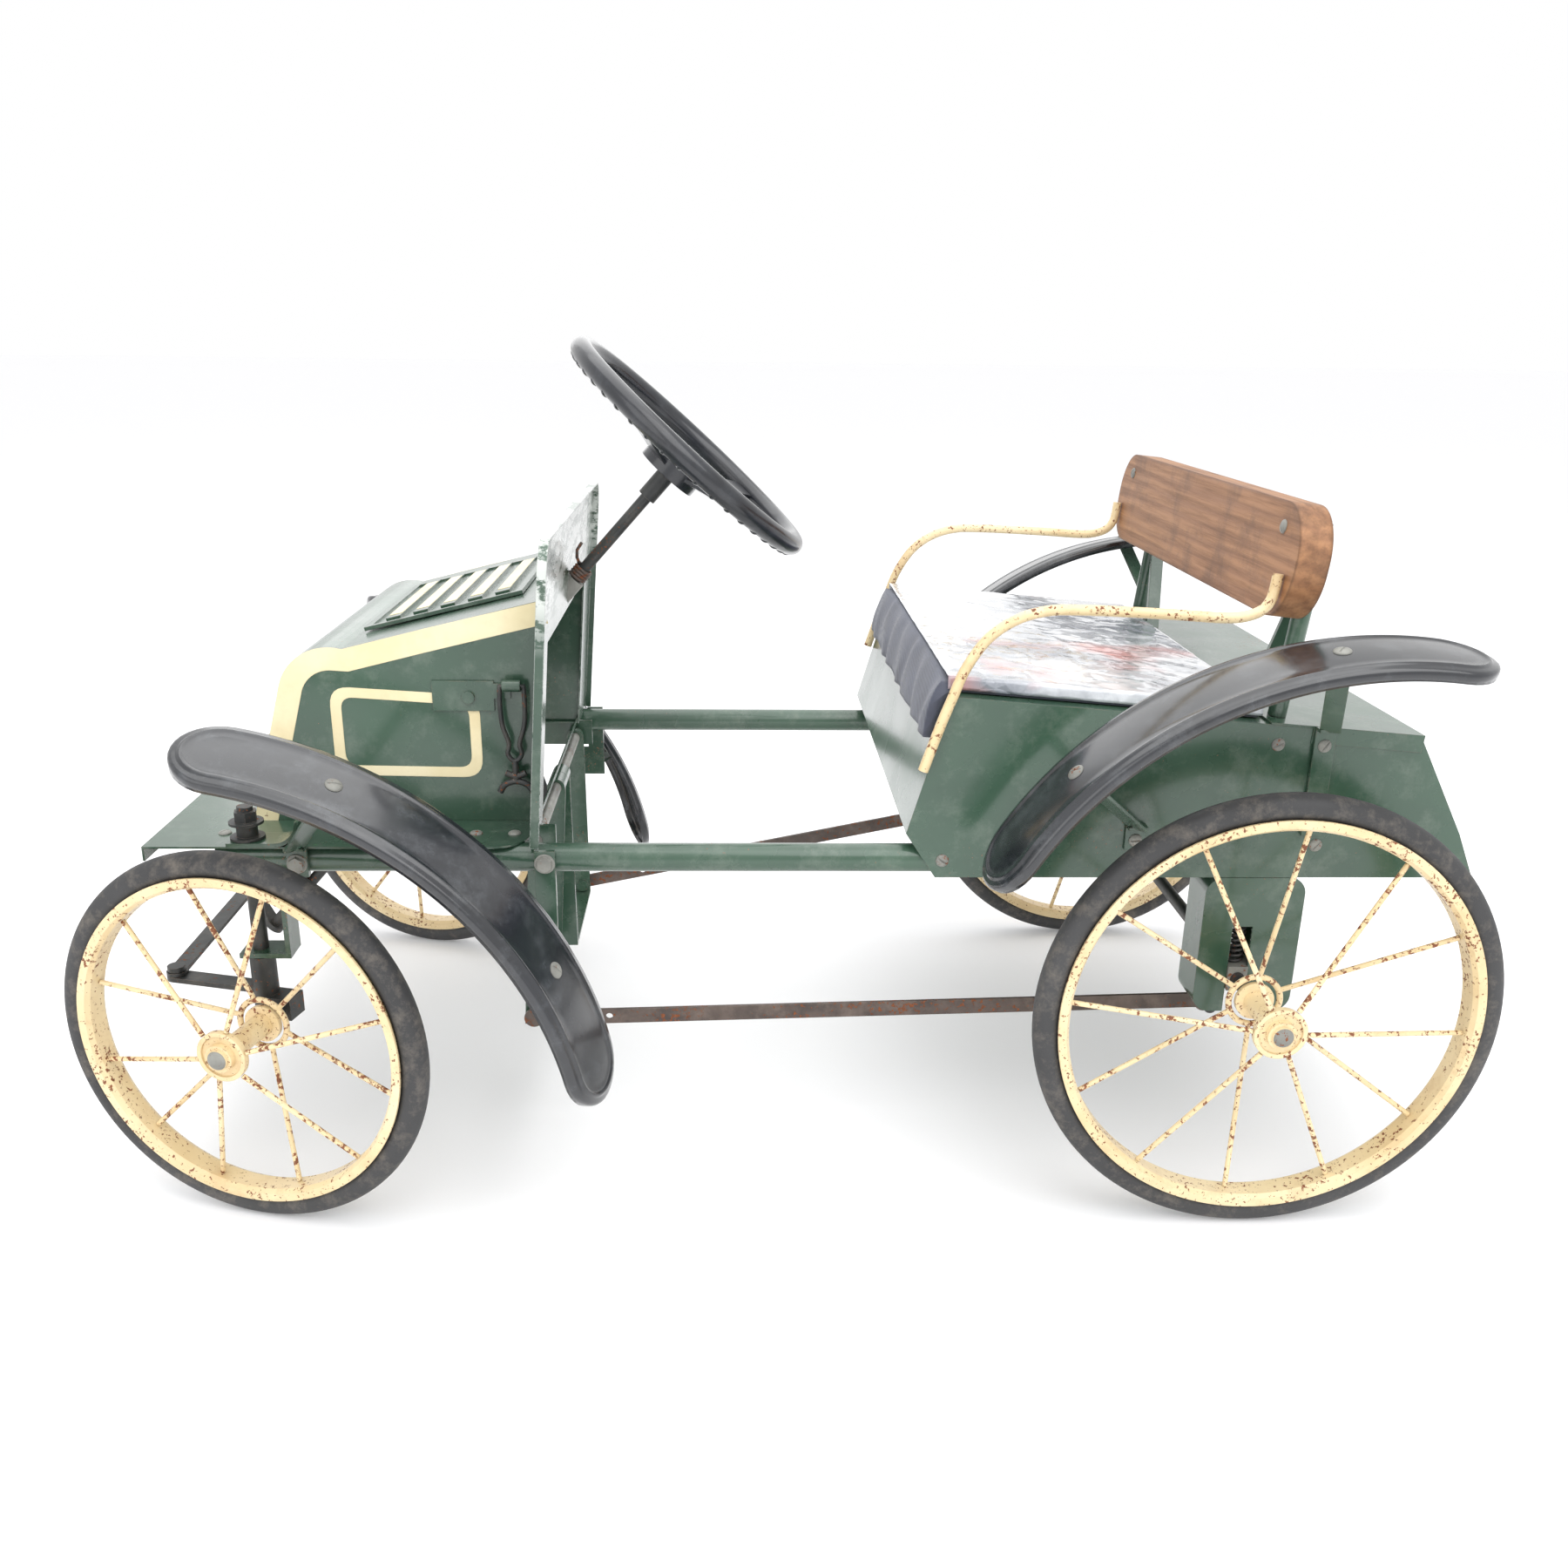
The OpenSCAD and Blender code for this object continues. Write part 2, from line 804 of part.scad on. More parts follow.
module hanger_springs() {
    turns = 6;
    wire_r = 1.1;
    coil_r = 6.2;
    low = block_top + wire_r + 0.1;
    high = slot_top - wire_r - 0.2;
    step = 30;
    color(black) along_car() both_sides()
        translate([0, spring_y, low])
            swept([for (a = [0:step:360 * turns])
                [coil_r * cos(a), coil_r * sin(a), (high - low) * a / (360 * turns)]],
                wire_r, 6);
}

// ---- seat ----

// Folded sheet box, open below, notched in front where the rails enter
module seat_box() {
    half = box_w / 2;
    walls = [sheet, sheet, sheet, sheet, sheet, -5];
    notch_r = rail_r + 0.15;
    color(green) along_car() difference() {
        side_plate(-half, half) polygon(box_points);
        side_plate(-half + sheet, half - sheet)
            polygon([for (i = [0:5]) box_points[i] + inset_step(box_points, walls, i)]);
        for (side = [-1, 1]) {
            translate([200, side * rail_y, rail_z])
                rotate([0, 90, 0]) cylinder(r = notch_r, h = 80);
            translate([200, side * rail_y - notch_r, rail_z - 20])
                cube([80, notch_r * 2, 20]);
        }
    }
}

module rear_deck() {
    half = box_w / 2 + 1;
    color(green) along_car()
        translate([box_top_rear[0] - 2, 0, deck_z(box_top_rear[0] - 2) + 0.1])
            rotate([0, -atan2(deck_z(100) - deck_z(0), 100), 0]) {
                translate([0, -half, 0]) cube([seat_back - box_top_rear[0], half * 2, sheet]);
                both_sides() translate([0, half - 0.9, -12]) cube([86, 0.9, 12]);
            }
}

module seat_cushion() {
    half = 203;
    thick = 11;
    lift = 0.6;
    front = 240;
    color("#4a4c55") along_car() side_plate(-half, half)
        polygon([[seat_back + 3, deck_z(seat_back + 3) + lift], [front, deck_z(front) + lift],
            [250.9, 372], [261, 374], [252, 412], [front + 4, deck_z(front) + thick],
            [seat_back + 3, deck_z(seat_back + 3) + thick]]);
}

module seat_film() {
    half = 205;
    low = 11.3;
    thick = 1.2;
    front = 243;
    color("#dfe3e8") along_car() side_plate(-half, half)
        polygon([[seat_back, deck_z(seat_back) + low], [front, deck_z(front) + low],
            [front, deck_z(front) + low + thick], [seat_back, deck_z(seat_back) + low + thick]]);
}

// Stands the children on the rear deck, leaning back with the seat posts
module on_posts() {
    translate([post_x, 0, deck_z(post_x) + sheet + 0.5])
        rotate([0, -seat_lean, 0]) children();
}

// Leaning tubes behind the board, each with a brace inwards
module seat_posts() {
    post_y = 194;
    high = 146;
    brace_y = 142;
    color(green) along_car() both_sides() on_posts() {
        translate([0, post_y, 0]) cylinder(r = post_r, h = high);
        difference() {
            flat_bar([0, post_y - 4, high - 42], [0, brace_y, -2], 12, 4);
            translate([-20, brace_y - 20, -10]) cube([40, 40, 10]);
        }
    }
}

module backrest_board() {
    r = 38;
    low = 76;
    half = board_w / 2;
    color("#8a5a3c") along_car() on_posts()
        translate([post_r + 0.2, 0, low]) rotate([90, 0, 90]) linear_extrude(board_t) {
            translate([-half, r]) square([board_w, board_h - r * 2]);
            translate([-half + r, 0]) square([board_w - r * 2, board_h]);
            for (sy = [-1, 1], sz = [r, board_h - r])
                translate([sy * (half - r), sz]) circle(r = r);
        }
}

// Bent rod from the box side, over the seat's edge, to the board's face
module armrest() {
    rod_r = 4;
    arm_y = 222;
    bend_r = 67;
    bend_x = 170;
    bend_z = 407;
    low = [[261, arm_y, 352], [250, arm_y, 386]];
    bend = [for (a = [12:13:90])
        [bend_x + bend_r * cos(a), arm_y, bend_z + bend_r * sin(a)]];
    level = [[120, arm_y, 473], [80, arm_y, 471], [48, arm_y, 469], [32, arm_y, 470]];
    tail = [[20, arm_y, 474.5], [14.2, arm_y, 482], [12.3, arm_y, 491], [11.3, arm_y, 501]];
    color(cream) along_car() swept(concat(low, bend, level, tail), rod_r, 10);
}

module armrest_left() {
    armrest();
}

module armrest_right() {
    mirror([0, 1, 0]) armrest();
}

// ---- mudguards ----

// Rounds off both ends of a band along an arc
module guard_ends(arc, half) {
    round_r = half + 3;
    ease = asin(round_r / arc[2]);
    for (end = [[arc[3] + ease, 0], [arc[4] - ease, 1]])
        rotate([0, 0, end[0]]) mirror([0, end[1], 0])
            difference() {
                translate([arc[2] - 40, -half - 20, -half - 10])
                    cube([70, half + 15, half * 2 + 20]);
                translate([arc[2] - 50, 0, 0])
                    rotate([0, 90, 0]) cylinder(r = round_r, h = 100);
            }
}

// Band with turned-down edges, swept along an arc, its outer edge lowered by the tilt
module mudguard(arc, tilt) {
    half = guard_w / 2;
    low = -guard_skirt;
    inner = half - sheet;
    section = [[0, -half], [0, half], [low, half], [low, inner],
        [-sheet, inner], [-sheet, -inner], [low, -inner], [low, -half]];
    color(black) along_car()
        translate([arc[0], guard_y, arc[1]]) rotate([90, 0, 0]) difference() {
            rotate([0, 0, arc[3]])
                rotate_extrude(angle = arc[4] - arc[3], $fn = 96)
                    polygon([for (p = section) [arc[2] + p[0] * cos(tilt) + p[1] * sin(tilt),
                        p[1] * cos(tilt) - p[0] * sin(tilt)]]);
            guard_ends(arc, half);
        }
}

// Stands the children on a mudguard's centre line, Z along its outward face
module on_guard(arc, tilt, turn) {
    translate([arc[0], guard_y, arc[1]]) rotate([0, 90 - turn, 0])
        translate([0, 0, arc[2]]) rotate([-tilt, 0, 0]) children();
}

module front_mudguard_left() {
    mudguard(front_arc, front_tilt);
}

module front_mudguard_right() {
    mirror([0, 1, 0]) mudguard(front_arc, front_tilt);
}

module rear_mudguard_left() {
    mudguard(rear_arc, rear_tilt);
}

module rear_mudguard_right() {
    mirror([0, 1, 0]) mudguard(rear_arc, rear_tilt);
}

// Flat bar from a bent root to a foot that lies under the mudguard
module stay(root, arc, tilt, turn) {
    thick = 2.5;
    wide = 15;
    foot = 4;
    to = on_arc(arc, turn, arc[2] - sheet - foot - 0.2);
    intersection() {
        flat_bar(root, [to[0], guard_y, to[1]], wide, thick);
        cross_rod(arc[0], arc[1], arc[2] - sheet - gap, root[1] - 10, guard_y + 10);
    }
    translate([root[0] - wide / 2, root[1] - 8, root[2] - thick / 2])
        cube([wide, 9, thick]);
    on_guard(arc, tilt, turn)
        translate([-wide / 2, -14, -sheet - foot - 0.4]) cube([wide, 28, foot]);
}

// Straps from the rails to the front mudguards
module front_stays() {
    strap = 2.5;
    side = tray_half + 0.2;
    inner = rail_y + rail_r + 0.1;
    color(green) along_car() both_sides() {
        translate([728, inner, rail_z - 11]) cube([16, side + strap - inner, 21.6]);
        translate([728, side, rail_z]) cube([16, strap, 13]);
        stay([736, side + 8, rail_z + 13], front_arc, front_tilt, 115);
        translate([540, inner, rail_z - 36]) cube([16, side + strap - inner, 46]);
        translate([540, side, rail_z - 64]) cube([32, strap, 30]);
        stay([564, side + 8, rail_z - 61], front_arc, front_tilt, 152.5);
    }
}

// Straps from the seat box to the rear mudguards
module rear_stays() {
    strap = 2.5;
    side = box_w / 2 + 0.2;
    color(green) along_car() both_sides() {
        translate([86, side, 288]) cube([16, strap, 20]);
        stay([94, side + 8, 307], rear_arc, rear_tilt, 45);
        translate([-50, side + 1, 300]) cube([16, strap, 85]);
        stay([-42, side + 9, 385], rear_arc, rear_tilt, 82.5);
    }
}

// ---- bonnet catches ----

// Riveted strap whose curled end carries the wire loop
module catch_straps() {
    face = bonnet_half + 0.1;
    curl = [576, 164.6, 402];
    color(green) along_car() both_sides() {
        translate([590, face, 380]) cube([48, 2, 24]);
        translate([577, face, 390]) cube([14, 2, 12]);
        translate([curl[0] - 8, curl[1], curl[2]]) rotate([0, 90, 0]) difference() {
            cylinder(r = 4.6, h = 14);
            translate([0, 0, -1]) cylinder(r = 1.8 + run, h = 16);
        }
        translate([577, face, 400.8]) cube([5, curl[1] - face - 3, 2.4]);
        translate([610, face + 2, 391]) rotate([-90, 0, 0]) cylinder(r = 5, h = 2.5);
    }
}

// Wire loop and cast grip hanging from the curl
module catch_loop(side) {
    top = [575, 164.6, 402];
    wire = 1.8;
    half = 9.4;
    low = 340;
    color(rust) along_car() mirror([0, side < 0 ? 1 : 0, 0]) {
        translate([top[0] - half, top[1], top[2]]) rotate([0, 90, 0])
            cylinder(r = wire, h = half * 2);
        for (s = [-1, 1]) {
            translate([top[0] + s * half, top[1], low]) cylinder(r = wire, h = top[2] - low);
            for (z = [low, top[2]])
                translate([top[0] + s * half, top[1], z]) sphere(r = wire);
        }
        translate([top[0] - half, top[1], low]) rotate([0, 90, 0])
            cylinder(r = wire, h = half * 2);
        translate([top[0] - 2.5, top[1] - 2, low - 22]) cube([5, 4, 22]);
        translate([top[0] - 14, top[1] - 2.5, low - 28]) cube([28, 5, 9]);
    }
}

module catch_loop_left() {
    catch_loop(1);
}

module catch_loop_right() {
    catch_loop(-1);
}

// ---- fasteners ----

module dome_head(r, h) {
    cylinder(r = r, h = h * 0.4);
    cylinder(r = r * 0.75, h = h * 0.75);
    cylinder(r = r * 0.4, h = h);
}

// Screw and bolt heads on the tray, rails, box, board and mudguards
module screws() {
    top = tray_z + sheet + 0.1;
    box = box_w / 2 + 0.1;
    rail_side = tray_half + 2.8;
    guard_top = 0.3;
    color(steel) along_car() both_sides() {
        for (x = [575, 605, 700, 800])
            translate([x, 186, top]) dome_head(5, 3);
        for (p = [[242, 278], [-8, 372], [-48, 291]])
            translate([p[0], box, p[1]]) rotate([-90, 0, 0]) dome_head(5, 3);
        translate([-42, box + 3.7, 372]) rotate([-90, 0, 0]) dome_head(5, 3);
        translate([94, box + 2.7, 296]) rotate([-90, 0, 0]) dome_head(5, 3);
        for (x = [548, 736])
            translate([x, rail_side, rail_z]) rotate([-90, 0, 0]) cylinder(r = 6.5, h = 4.5, $fn = 6);
        on_posts() translate([post_r + board_t + gap, 201, 142]) rotate([0, 90, 0])
            dome_head(5, 2.5);
        for (turn = [115, 152.5])
            on_guard(front_arc, front_tilt, turn) translate([0, 0, guard_top]) dome_head(6, 2.6);
        for (turn = [45, 82.5])
            on_guard(rear_arc, rear_tilt, turn) translate([0, 0, guard_top]) dome_head(6, 2.6);
    }
}

left_rail();
right_rail();
front_tray();
kingpin_brackets();
bonnet();
louvre_panel();
dash_panel();
column_bracket();
shaft_brackets();
pedal_shaft();
catch_straps();
front_mudguard_left();
front_mudguard_right();
rear_mudguard_left();
rear_mudguard_right();
front_stays();
rear_stays();
seat_box();
rear_deck();
seat_cushion();
seat_film();
seat_posts();
backrest_board();
armrest_left();
armrest_right();
axle_hanger_left();
axle_hanger_right();
hanger_springs();
axle_blocks();
screws();
tie_wire();
steering_wheel_rim();
steering_wheel_spider();
steering_column();
knuckle_left();
knuckle_right();
track_rod();
front_left_tyre();
front_left_rim();
front_left_spokes();
front_left_hub();
front_right_tyre();
front_right_rim();
front_right_spokes();
front_right_hub();
rear_left_tyre();
rear_left_rim();
rear_left_spokes();
rear_left_hub();
rear_right_tyre();
rear_right_rim();
rear_right_spokes();
rear_right_hub();
crank_axle();
connecting_rod_left();
connecting_rod_right();
pedal_left();
pedal_right();
catch_loop_left();
catch_loop_right();
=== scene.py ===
import math

import bmesh
import bpy
from mathutils import Euler, Matrix, Vector, noise


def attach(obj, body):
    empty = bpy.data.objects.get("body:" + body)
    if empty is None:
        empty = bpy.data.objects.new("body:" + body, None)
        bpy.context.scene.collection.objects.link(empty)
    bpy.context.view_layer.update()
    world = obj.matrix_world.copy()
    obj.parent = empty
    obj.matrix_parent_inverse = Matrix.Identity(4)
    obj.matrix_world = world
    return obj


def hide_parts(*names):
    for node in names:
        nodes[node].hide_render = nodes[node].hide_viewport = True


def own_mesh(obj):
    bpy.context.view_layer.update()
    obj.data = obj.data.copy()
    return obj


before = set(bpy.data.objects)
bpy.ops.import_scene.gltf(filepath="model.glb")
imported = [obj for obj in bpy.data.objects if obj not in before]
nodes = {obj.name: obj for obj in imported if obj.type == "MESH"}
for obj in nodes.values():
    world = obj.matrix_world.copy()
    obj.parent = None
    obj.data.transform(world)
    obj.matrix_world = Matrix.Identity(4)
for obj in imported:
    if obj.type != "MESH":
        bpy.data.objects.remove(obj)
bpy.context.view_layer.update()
scene = bpy.context.scene

# Lengths are counted from the rear axle in millimetres, as in the CAD
rearAxleX = -372.15


def place(x, y, z):
    return Vector(((x + rearAxleX) / 1000, y / 1000, z / 1000))


print("camera")
cameraLook = {  # place in metres, turns in radians, lens in millimetres
    "place": (0.0359, 1.227, 0.663),
    "yaw": -0.029,
    "pitch": 0.345,
    "roll": 0.011,
    "lens": 32.2,
    "shiftX": 0.0117,
    "shiftY": 0.0317,
}


def makeCamera(look):
    forward = Vector((
        math.sin(look["yaw"]) * math.cos(look["pitch"]),
        -math.cos(look["yaw"]) * math.cos(look["pitch"]),
        -math.sin(look["pitch"]),
    ))
    right = forward.cross(Vector((0, 0, 1))).normalized()
    up = right.cross(forward)
    turn = Matrix((right, up, -forward)).transposed().to_4x4()
    data = bpy.data.cameras.new("viewCamera")
    data.sensor_width = 36
    data.lens = look["lens"]
    data.shift_x = look["shiftX"]
    data.shift_y = look["shiftY"]
    data.clip_start = 0.01
    data.clip_end = 200
    camera = bpy.data.objects.new("viewCamera", data)
    camera.matrix_world = (
        Matrix.Translation(look["place"]) @ turn @ Matrix.Rotation(look["roll"], 4, "Z")
    )
    scene.collection.objects.link(camera)
    scene.camera = camera


makeCamera(cameraLook)

print("materials")


def newMaterial(name):
    material = bpy.data.materials.new(name)
    material.use_nodes = True
    tree = material.node_tree
    tree.nodes.clear()
    shader = tree.nodes.new("ShaderNodeBsdfPrincipled")
    output = tree.nodes.new("ShaderNodeOutputMaterial")
    tree.links.new(shader.outputs["BSDF"], output.inputs["Surface"])
    return material, tree, shader


def fill(tree, socket, value):
    if isinstance(value, bpy.types.NodeSocket):
        tree.links.new(value, socket)
    else:
        socket.default_value = value


def objectPlace(tree, stretch=(1, 1, 1), shift=(0, 0, 0)):
    coords = tree.nodes.new("ShaderNodeTexCoord")
    mapping = tree.nodes.new("ShaderNodeMapping")
    tree.links.new(coords.outputs["Object"], mapping.inputs["Vector"])
    mapping.inputs["Scale"].default_value = stretch
    mapping.inputs["Location"].default_value = shift
    return mapping.outputs["Vector"]


def noiseField(tree, vector, scale, detail=4, rough=0.55):
    node = tree.nodes.new("ShaderNodeTexNoise")
    tree.links.new(vector, node.inputs["Vector"])
    node.inputs["Scale"].default_value = scale
    node.inputs["Detail"].default_value = detail
    node.inputs["Roughness"].default_value = rough
    return node.outputs["Fac"]


def ramp(tree, value, low, high, toLow=0.0, toHigh=1.0):
    node = tree.nodes.new("ShaderNodeMapRange")
    fill(tree, node.inputs["Value"], value)
    for name, number in (
        ("From Min", low), ("From Max", high), ("To Min", toLow), ("To Max", toHigh)
    ):
        node.inputs[name].default_value = number
    return node.outputs["Result"]


def calc(tree, how, first, second=0.0):
    node = tree.nodes.new("ShaderNodeMath")
    node.operation = how
    fill(tree, node.inputs[0], first)
    fill(tree, node.inputs[1], second)
    return node.outputs[0]


def blendColour(tree, amount, first, second):
    node = tree.nodes.new("ShaderNodeMix")
    node.data_type = "RGBA"
    fill(tree, node.inputs["Factor"], amount)
    fill(tree, node.inputs["A"], first)
    fill(tree, node.inputs["B"], second)
    return node.outputs["Result"]


def axisValue(tree, vector, axis):
    node = tree.nodes.new("ShaderNodeSeparateXYZ")
    tree.links.new(vector, node.inputs[0])
    return node.outputs[axis]


def colour(code):
    parts = [int(code[i:i + 2], 16) / 255 for i in (1, 3, 5)]
    return tuple(p / 12.92 if p < 0.04 else ((p + 0.055) / 1.055) ** 2.4 for p in parts) + (1.0,)


def softNormal(tree, radius):
    bevel = tree.nodes.new("ShaderNodeBevel")
    bevel.samples = 4
    bevel.inputs["Radius"].default_value = radius
    return bevel.outputs["Normal"]


def edgeMask(tree, rounded, low, high):
    geometry = tree.nodes.new("ShaderNodeNewGeometry")
    dot = tree.nodes.new("ShaderNodeVectorMath")
    dot.operation = "DOT_PRODUCT"
    tree.links.new(rounded, dot.inputs[0])
    tree.links.new(geometry.outputs["Normal"], dot.inputs[1])
    return ramp(tree, calc(tree, "SUBTRACT", 1.0, dot.outputs["Value"]), low, high)


def bump(tree, height, distance, strength, normal=None):
    node = tree.nodes.new("ShaderNodeBump")
    fill(tree, node.inputs["Height"], height)
    node.inputs["Distance"].default_value = distance
    node.inputs["Strength"].default_value = strength
    if normal is not None:
        tree.links.new(normal, node.inputs["Normal"])
    return node.outputs["Normal"]


def wornPaint(name, look):
    material, tree, shader = newMaterial(name)
    at = objectPlace(tree)
    rounded = softNormal(tree, look["edgeRadius"])
    tone = ramp(tree, noiseField(tree, at, look["toneScale"], 5), 0.3, 0.7)
    base = blendColour(tree, tone, colour(look["dark"]), colour(look["light"]))
    dustField = ramp(tree, noiseField(tree, at, 38, 9, 0.72), 0.5, 0.78)
    base = blendColour(
        tree, calc(tree, "MULTIPLY", dustField, look["dust"]), base, colour(look["dustColour"])
    )
    # Painted reflection: when a top band is given, light silver flakes are painted over the upper
    # part of the surface. They stand in for light reflected off its glossy top.
    if look.get("paintedTopSheen"):
        low, high = look["paintedTopSheen"]
        sheenFlakeField = noiseField(tree, objectPlace(tree, (30, 16, 60)), 1.5, 8, 0.75)
        sheenFlakes = ramp(tree, sheenFlakeField, 0.46, 0.52)
        sheenFlakes = calc(tree, "MULTIPLY", sheenFlakes, ramp(tree, axisValue(tree, at, "Z"), low, high))
        base = blendColour(tree, sheenFlakes, base, colour(look["edgeWearAndSheenColour"]))
    if look.get("smear"):
        streak = noiseField(tree, objectPlace(tree, (14, 40, 40), (2, 1, 5)), 1.6, 5, 0.6)
        base = blendColour(tree, ramp(tree, streak, 0.69, 0.72), base, colour(look["smear"]))
    patch = ramp(
        tree, noiseField(tree, at, look["rustArea"], 3), look["rustFrom"], look["rustFrom"] + 0.22
    )
    grain = noiseField(tree, at, look["rustScale"], 6, 0.66)
    speck = ramp(
        tree, calc(tree, "ADD", grain, calc(tree, "MULTIPLY", patch, look["rustSpread"])),
        look["rustCut"], look["rustCut"] + 0.035,
    )
    rustTone = blendColour(
        tree, noiseField(tree, at, 420, 3), colour("#3f2418"), colour("#a4603a")
    )
    edges = calc(
        tree, "MULTIPLY", edgeMask(tree, rounded, 0.015, 0.09),
        ramp(tree, noiseField(tree, at, 95, 6, 0.7), look["wearCut"], look["wearCut"] + 0.08),
    )
    base = blendColour(tree, speck, base, rustTone)
    base = blendColour(tree, calc(tree, "MULTIPLY", edges, 0.8), base, colour(look["edgeWearAndSheenColour"]))
    worn = calc(tree, "MAXIMUM", speck, edges)
    roughness = ramp(
        tree, noiseField(tree, at, 14, 6), 0.25, 0.8, look["gloss"], look["gloss"] + 0.16
    )
    roughness = calc(tree, "ADD", roughness, calc(tree, "MULTIPLY", worn, 0.4))
    height = calc(tree, "SUBTRACT", calc(tree, "MULTIPLY", noiseField(tree, at, 60, 5), 0.35), worn)
    fill(tree, shader.inputs["Base Color"], base)
    fill(tree, shader.inputs["Roughness"], roughness)
    shader.inputs["Coat Weight"].default_value = look["coat"]
    shader.inputs["Coat Roughness"].default_value = 0.14
    fill(tree, shader.inputs["Normal"], bump(tree, height, 0.0006, look["relief"], rounded))
    return material


greenLook = {
    "dark": "#2a4435", "light": "#3e5c49", "toneScale": 7, "dust": 0.34, "dustColour": "#8c968a",
    "rustArea": 9, "rustFrom": 0.5, "rustSpread": 0.12, "rustScale": 420, "rustCut": 0.705,
    "edgeWearAndSheenColour": "#6d6a58", "wearCut": 0.5, "gloss": 0.2, "coat": 0.6, "relief": 0.28,
    "edgeRadius": 0.0012,
}
railLook = dict(greenLook, smear="#4cab4f")
# Dash paint: its top band carries the light silver flakes of the painted reflection, and the same
# silver also marks real wear along its edges.
dashLook = dict(
    greenLook, dust=0.4, wearCut=0.42, edgeWearAndSheenColour="#c9cec9", paintedTopSheen=(0.435, 0.475)
)
trimLook = {
    "dark": "#e3d3a4", "light": "#f5eac6", "toneScale": 12, "dust": 0.25, "dustColour": "#bfa877",
    "rustArea": 14, "rustFrom": 0.56, "rustSpread": 0.14, "rustScale": 190, "rustCut": 0.72,
    "edgeWearAndSheenColour": "#8c6a48", "wearCut": 0.66, "gloss": 0.33, "coat": 0.25, "relief": 0.25,
    "edgeRadius": 0.0008,
}
wheelLook = dict(
    trimLook, dark="#dcc292", light="#efdcb2", rustArea=32, rustFrom=0.42, rustSpread=0.08,
    rustScale=300, rustCut=0.615, dust=0.5, dustColour="#b98f5f",
)
spokeLook = dict(wheelLook, rustCut=0.565, rustScale=240)
guardLook = {
    "dark": "#15171b", "light": "#22252b", "toneScale": 9, "dust": 0.55, "dustColour": "#5d6166",
    "rustArea": 10, "rustFrom": 0.62, "rustSpread": 0.1, "rustScale": 300, "rustCut": 0.76,
    "edgeWearAndSheenColour": "#55534f", "wearCut": 0.54, "gloss": 0.17, "coat": 0.8, "relief": 0.2,
    "edgeRadius": 0.0012,
}
steelLook = {
    "dark": "#6a6a66", "light": "#96968f", "toneScale": 40, "dust": 0.4, "dustColour": "#5b5349",
    "rustArea": 30, "rustFrom": 0.42, "rustSpread": 0.12, "rustScale": 300, "rustCut": 0.66,
    "edgeWearAndSheenColour": "#a9aaa4", "wearCut": 0.45, "gloss": 0.36, "coat": 0.0, "relief": 0.4,
    "edgeRadius": 0.0006,
}
rustLook = {
    "dark": "#3f3632", "light": "#62544c", "toneScale": 55, "dust": 0.5, "dustColour": "#8b7a6e",
    "rustArea": 18, "rustFrom": 0.36, "rustSpread": 0.1, "rustScale": 240, "rustCut": 0.64,
    "edgeWearAndSheenColour": "#94877c", "wearCut": 0.46, "gloss": 0.42, "coat": 0.0, "relief": 0.6,
    "edgeRadius": 0.0006,
}
ironLook = dict(
    rustLook, dark="#26282a", light="#3d3e3b", rustCut=0.68, dustColour="#6a6057", gloss=0.38
)
plasticLook = {
    "dark": "#15171c", "light": "#1d2027", "toneScale": 20, "dust": 0.28, "dustColour": "#565b62",
    "rustArea": 30, "rustFrom": 0.8, "rustSpread": 0.0, "rustScale": 200, "rustCut": 1.2,
    "edgeWearAndSheenColour": "#3a3d42", "wearCut": 0.6, "gloss": 0.22, "coat": 0.5, "relief": 0.18,
    "edgeRadius": 0.001,
}


def tyreRubber(look):
    material, tree, shader = newMaterial("tyreRubber")
    at = objectPlace(tree)
    tone = ramp(tree, noiseField(tree, at, 5, 4), 0.35, 0.65)
    base = blendColour(tree, tone, colour(look["dark"]), colour(look["light"]))
    dust = ramp(tree, noiseField(tree, at, 60, 9, 0.75), 0.48, 0.75, 0, look["dust"])
    base = blendColour(tree, dust, base, colour(look["dustColour"]))
    cracks = tree.nodes.new("ShaderNodeTexVoronoi")
    cracks.feature = "DISTANCE_TO_EDGE"
    tree.links.new(at, cracks.inputs["Vector"])
    cracks.inputs["Scale"].default_value = look["crackScale"]
    lines = ramp(tree, cracks.outputs["Distance"], 0.0, 0.03)
    fill(tree, shader.inputs["Base Color"], base)
    dull = ramp(tree, noiseField(tree, at, 30), 0.3, 0.7, 0.56, 0.78)
    fill(tree, shader.inputs["Roughness"], dull)
    height = calc(tree, "ADD", calc(tree, "MULTIPLY", lines, 0.4), noiseField(tree, at, 500, 3))
    fill(tree, shader.inputs["Normal"], bump(tree, height, 0.0004, 0.3))
    return material


tyreLook = {
    "dark": "#333334", "light": "#444445", "dust": 0.6, "dustColour": "#827a70", "crackScale": 170,
}


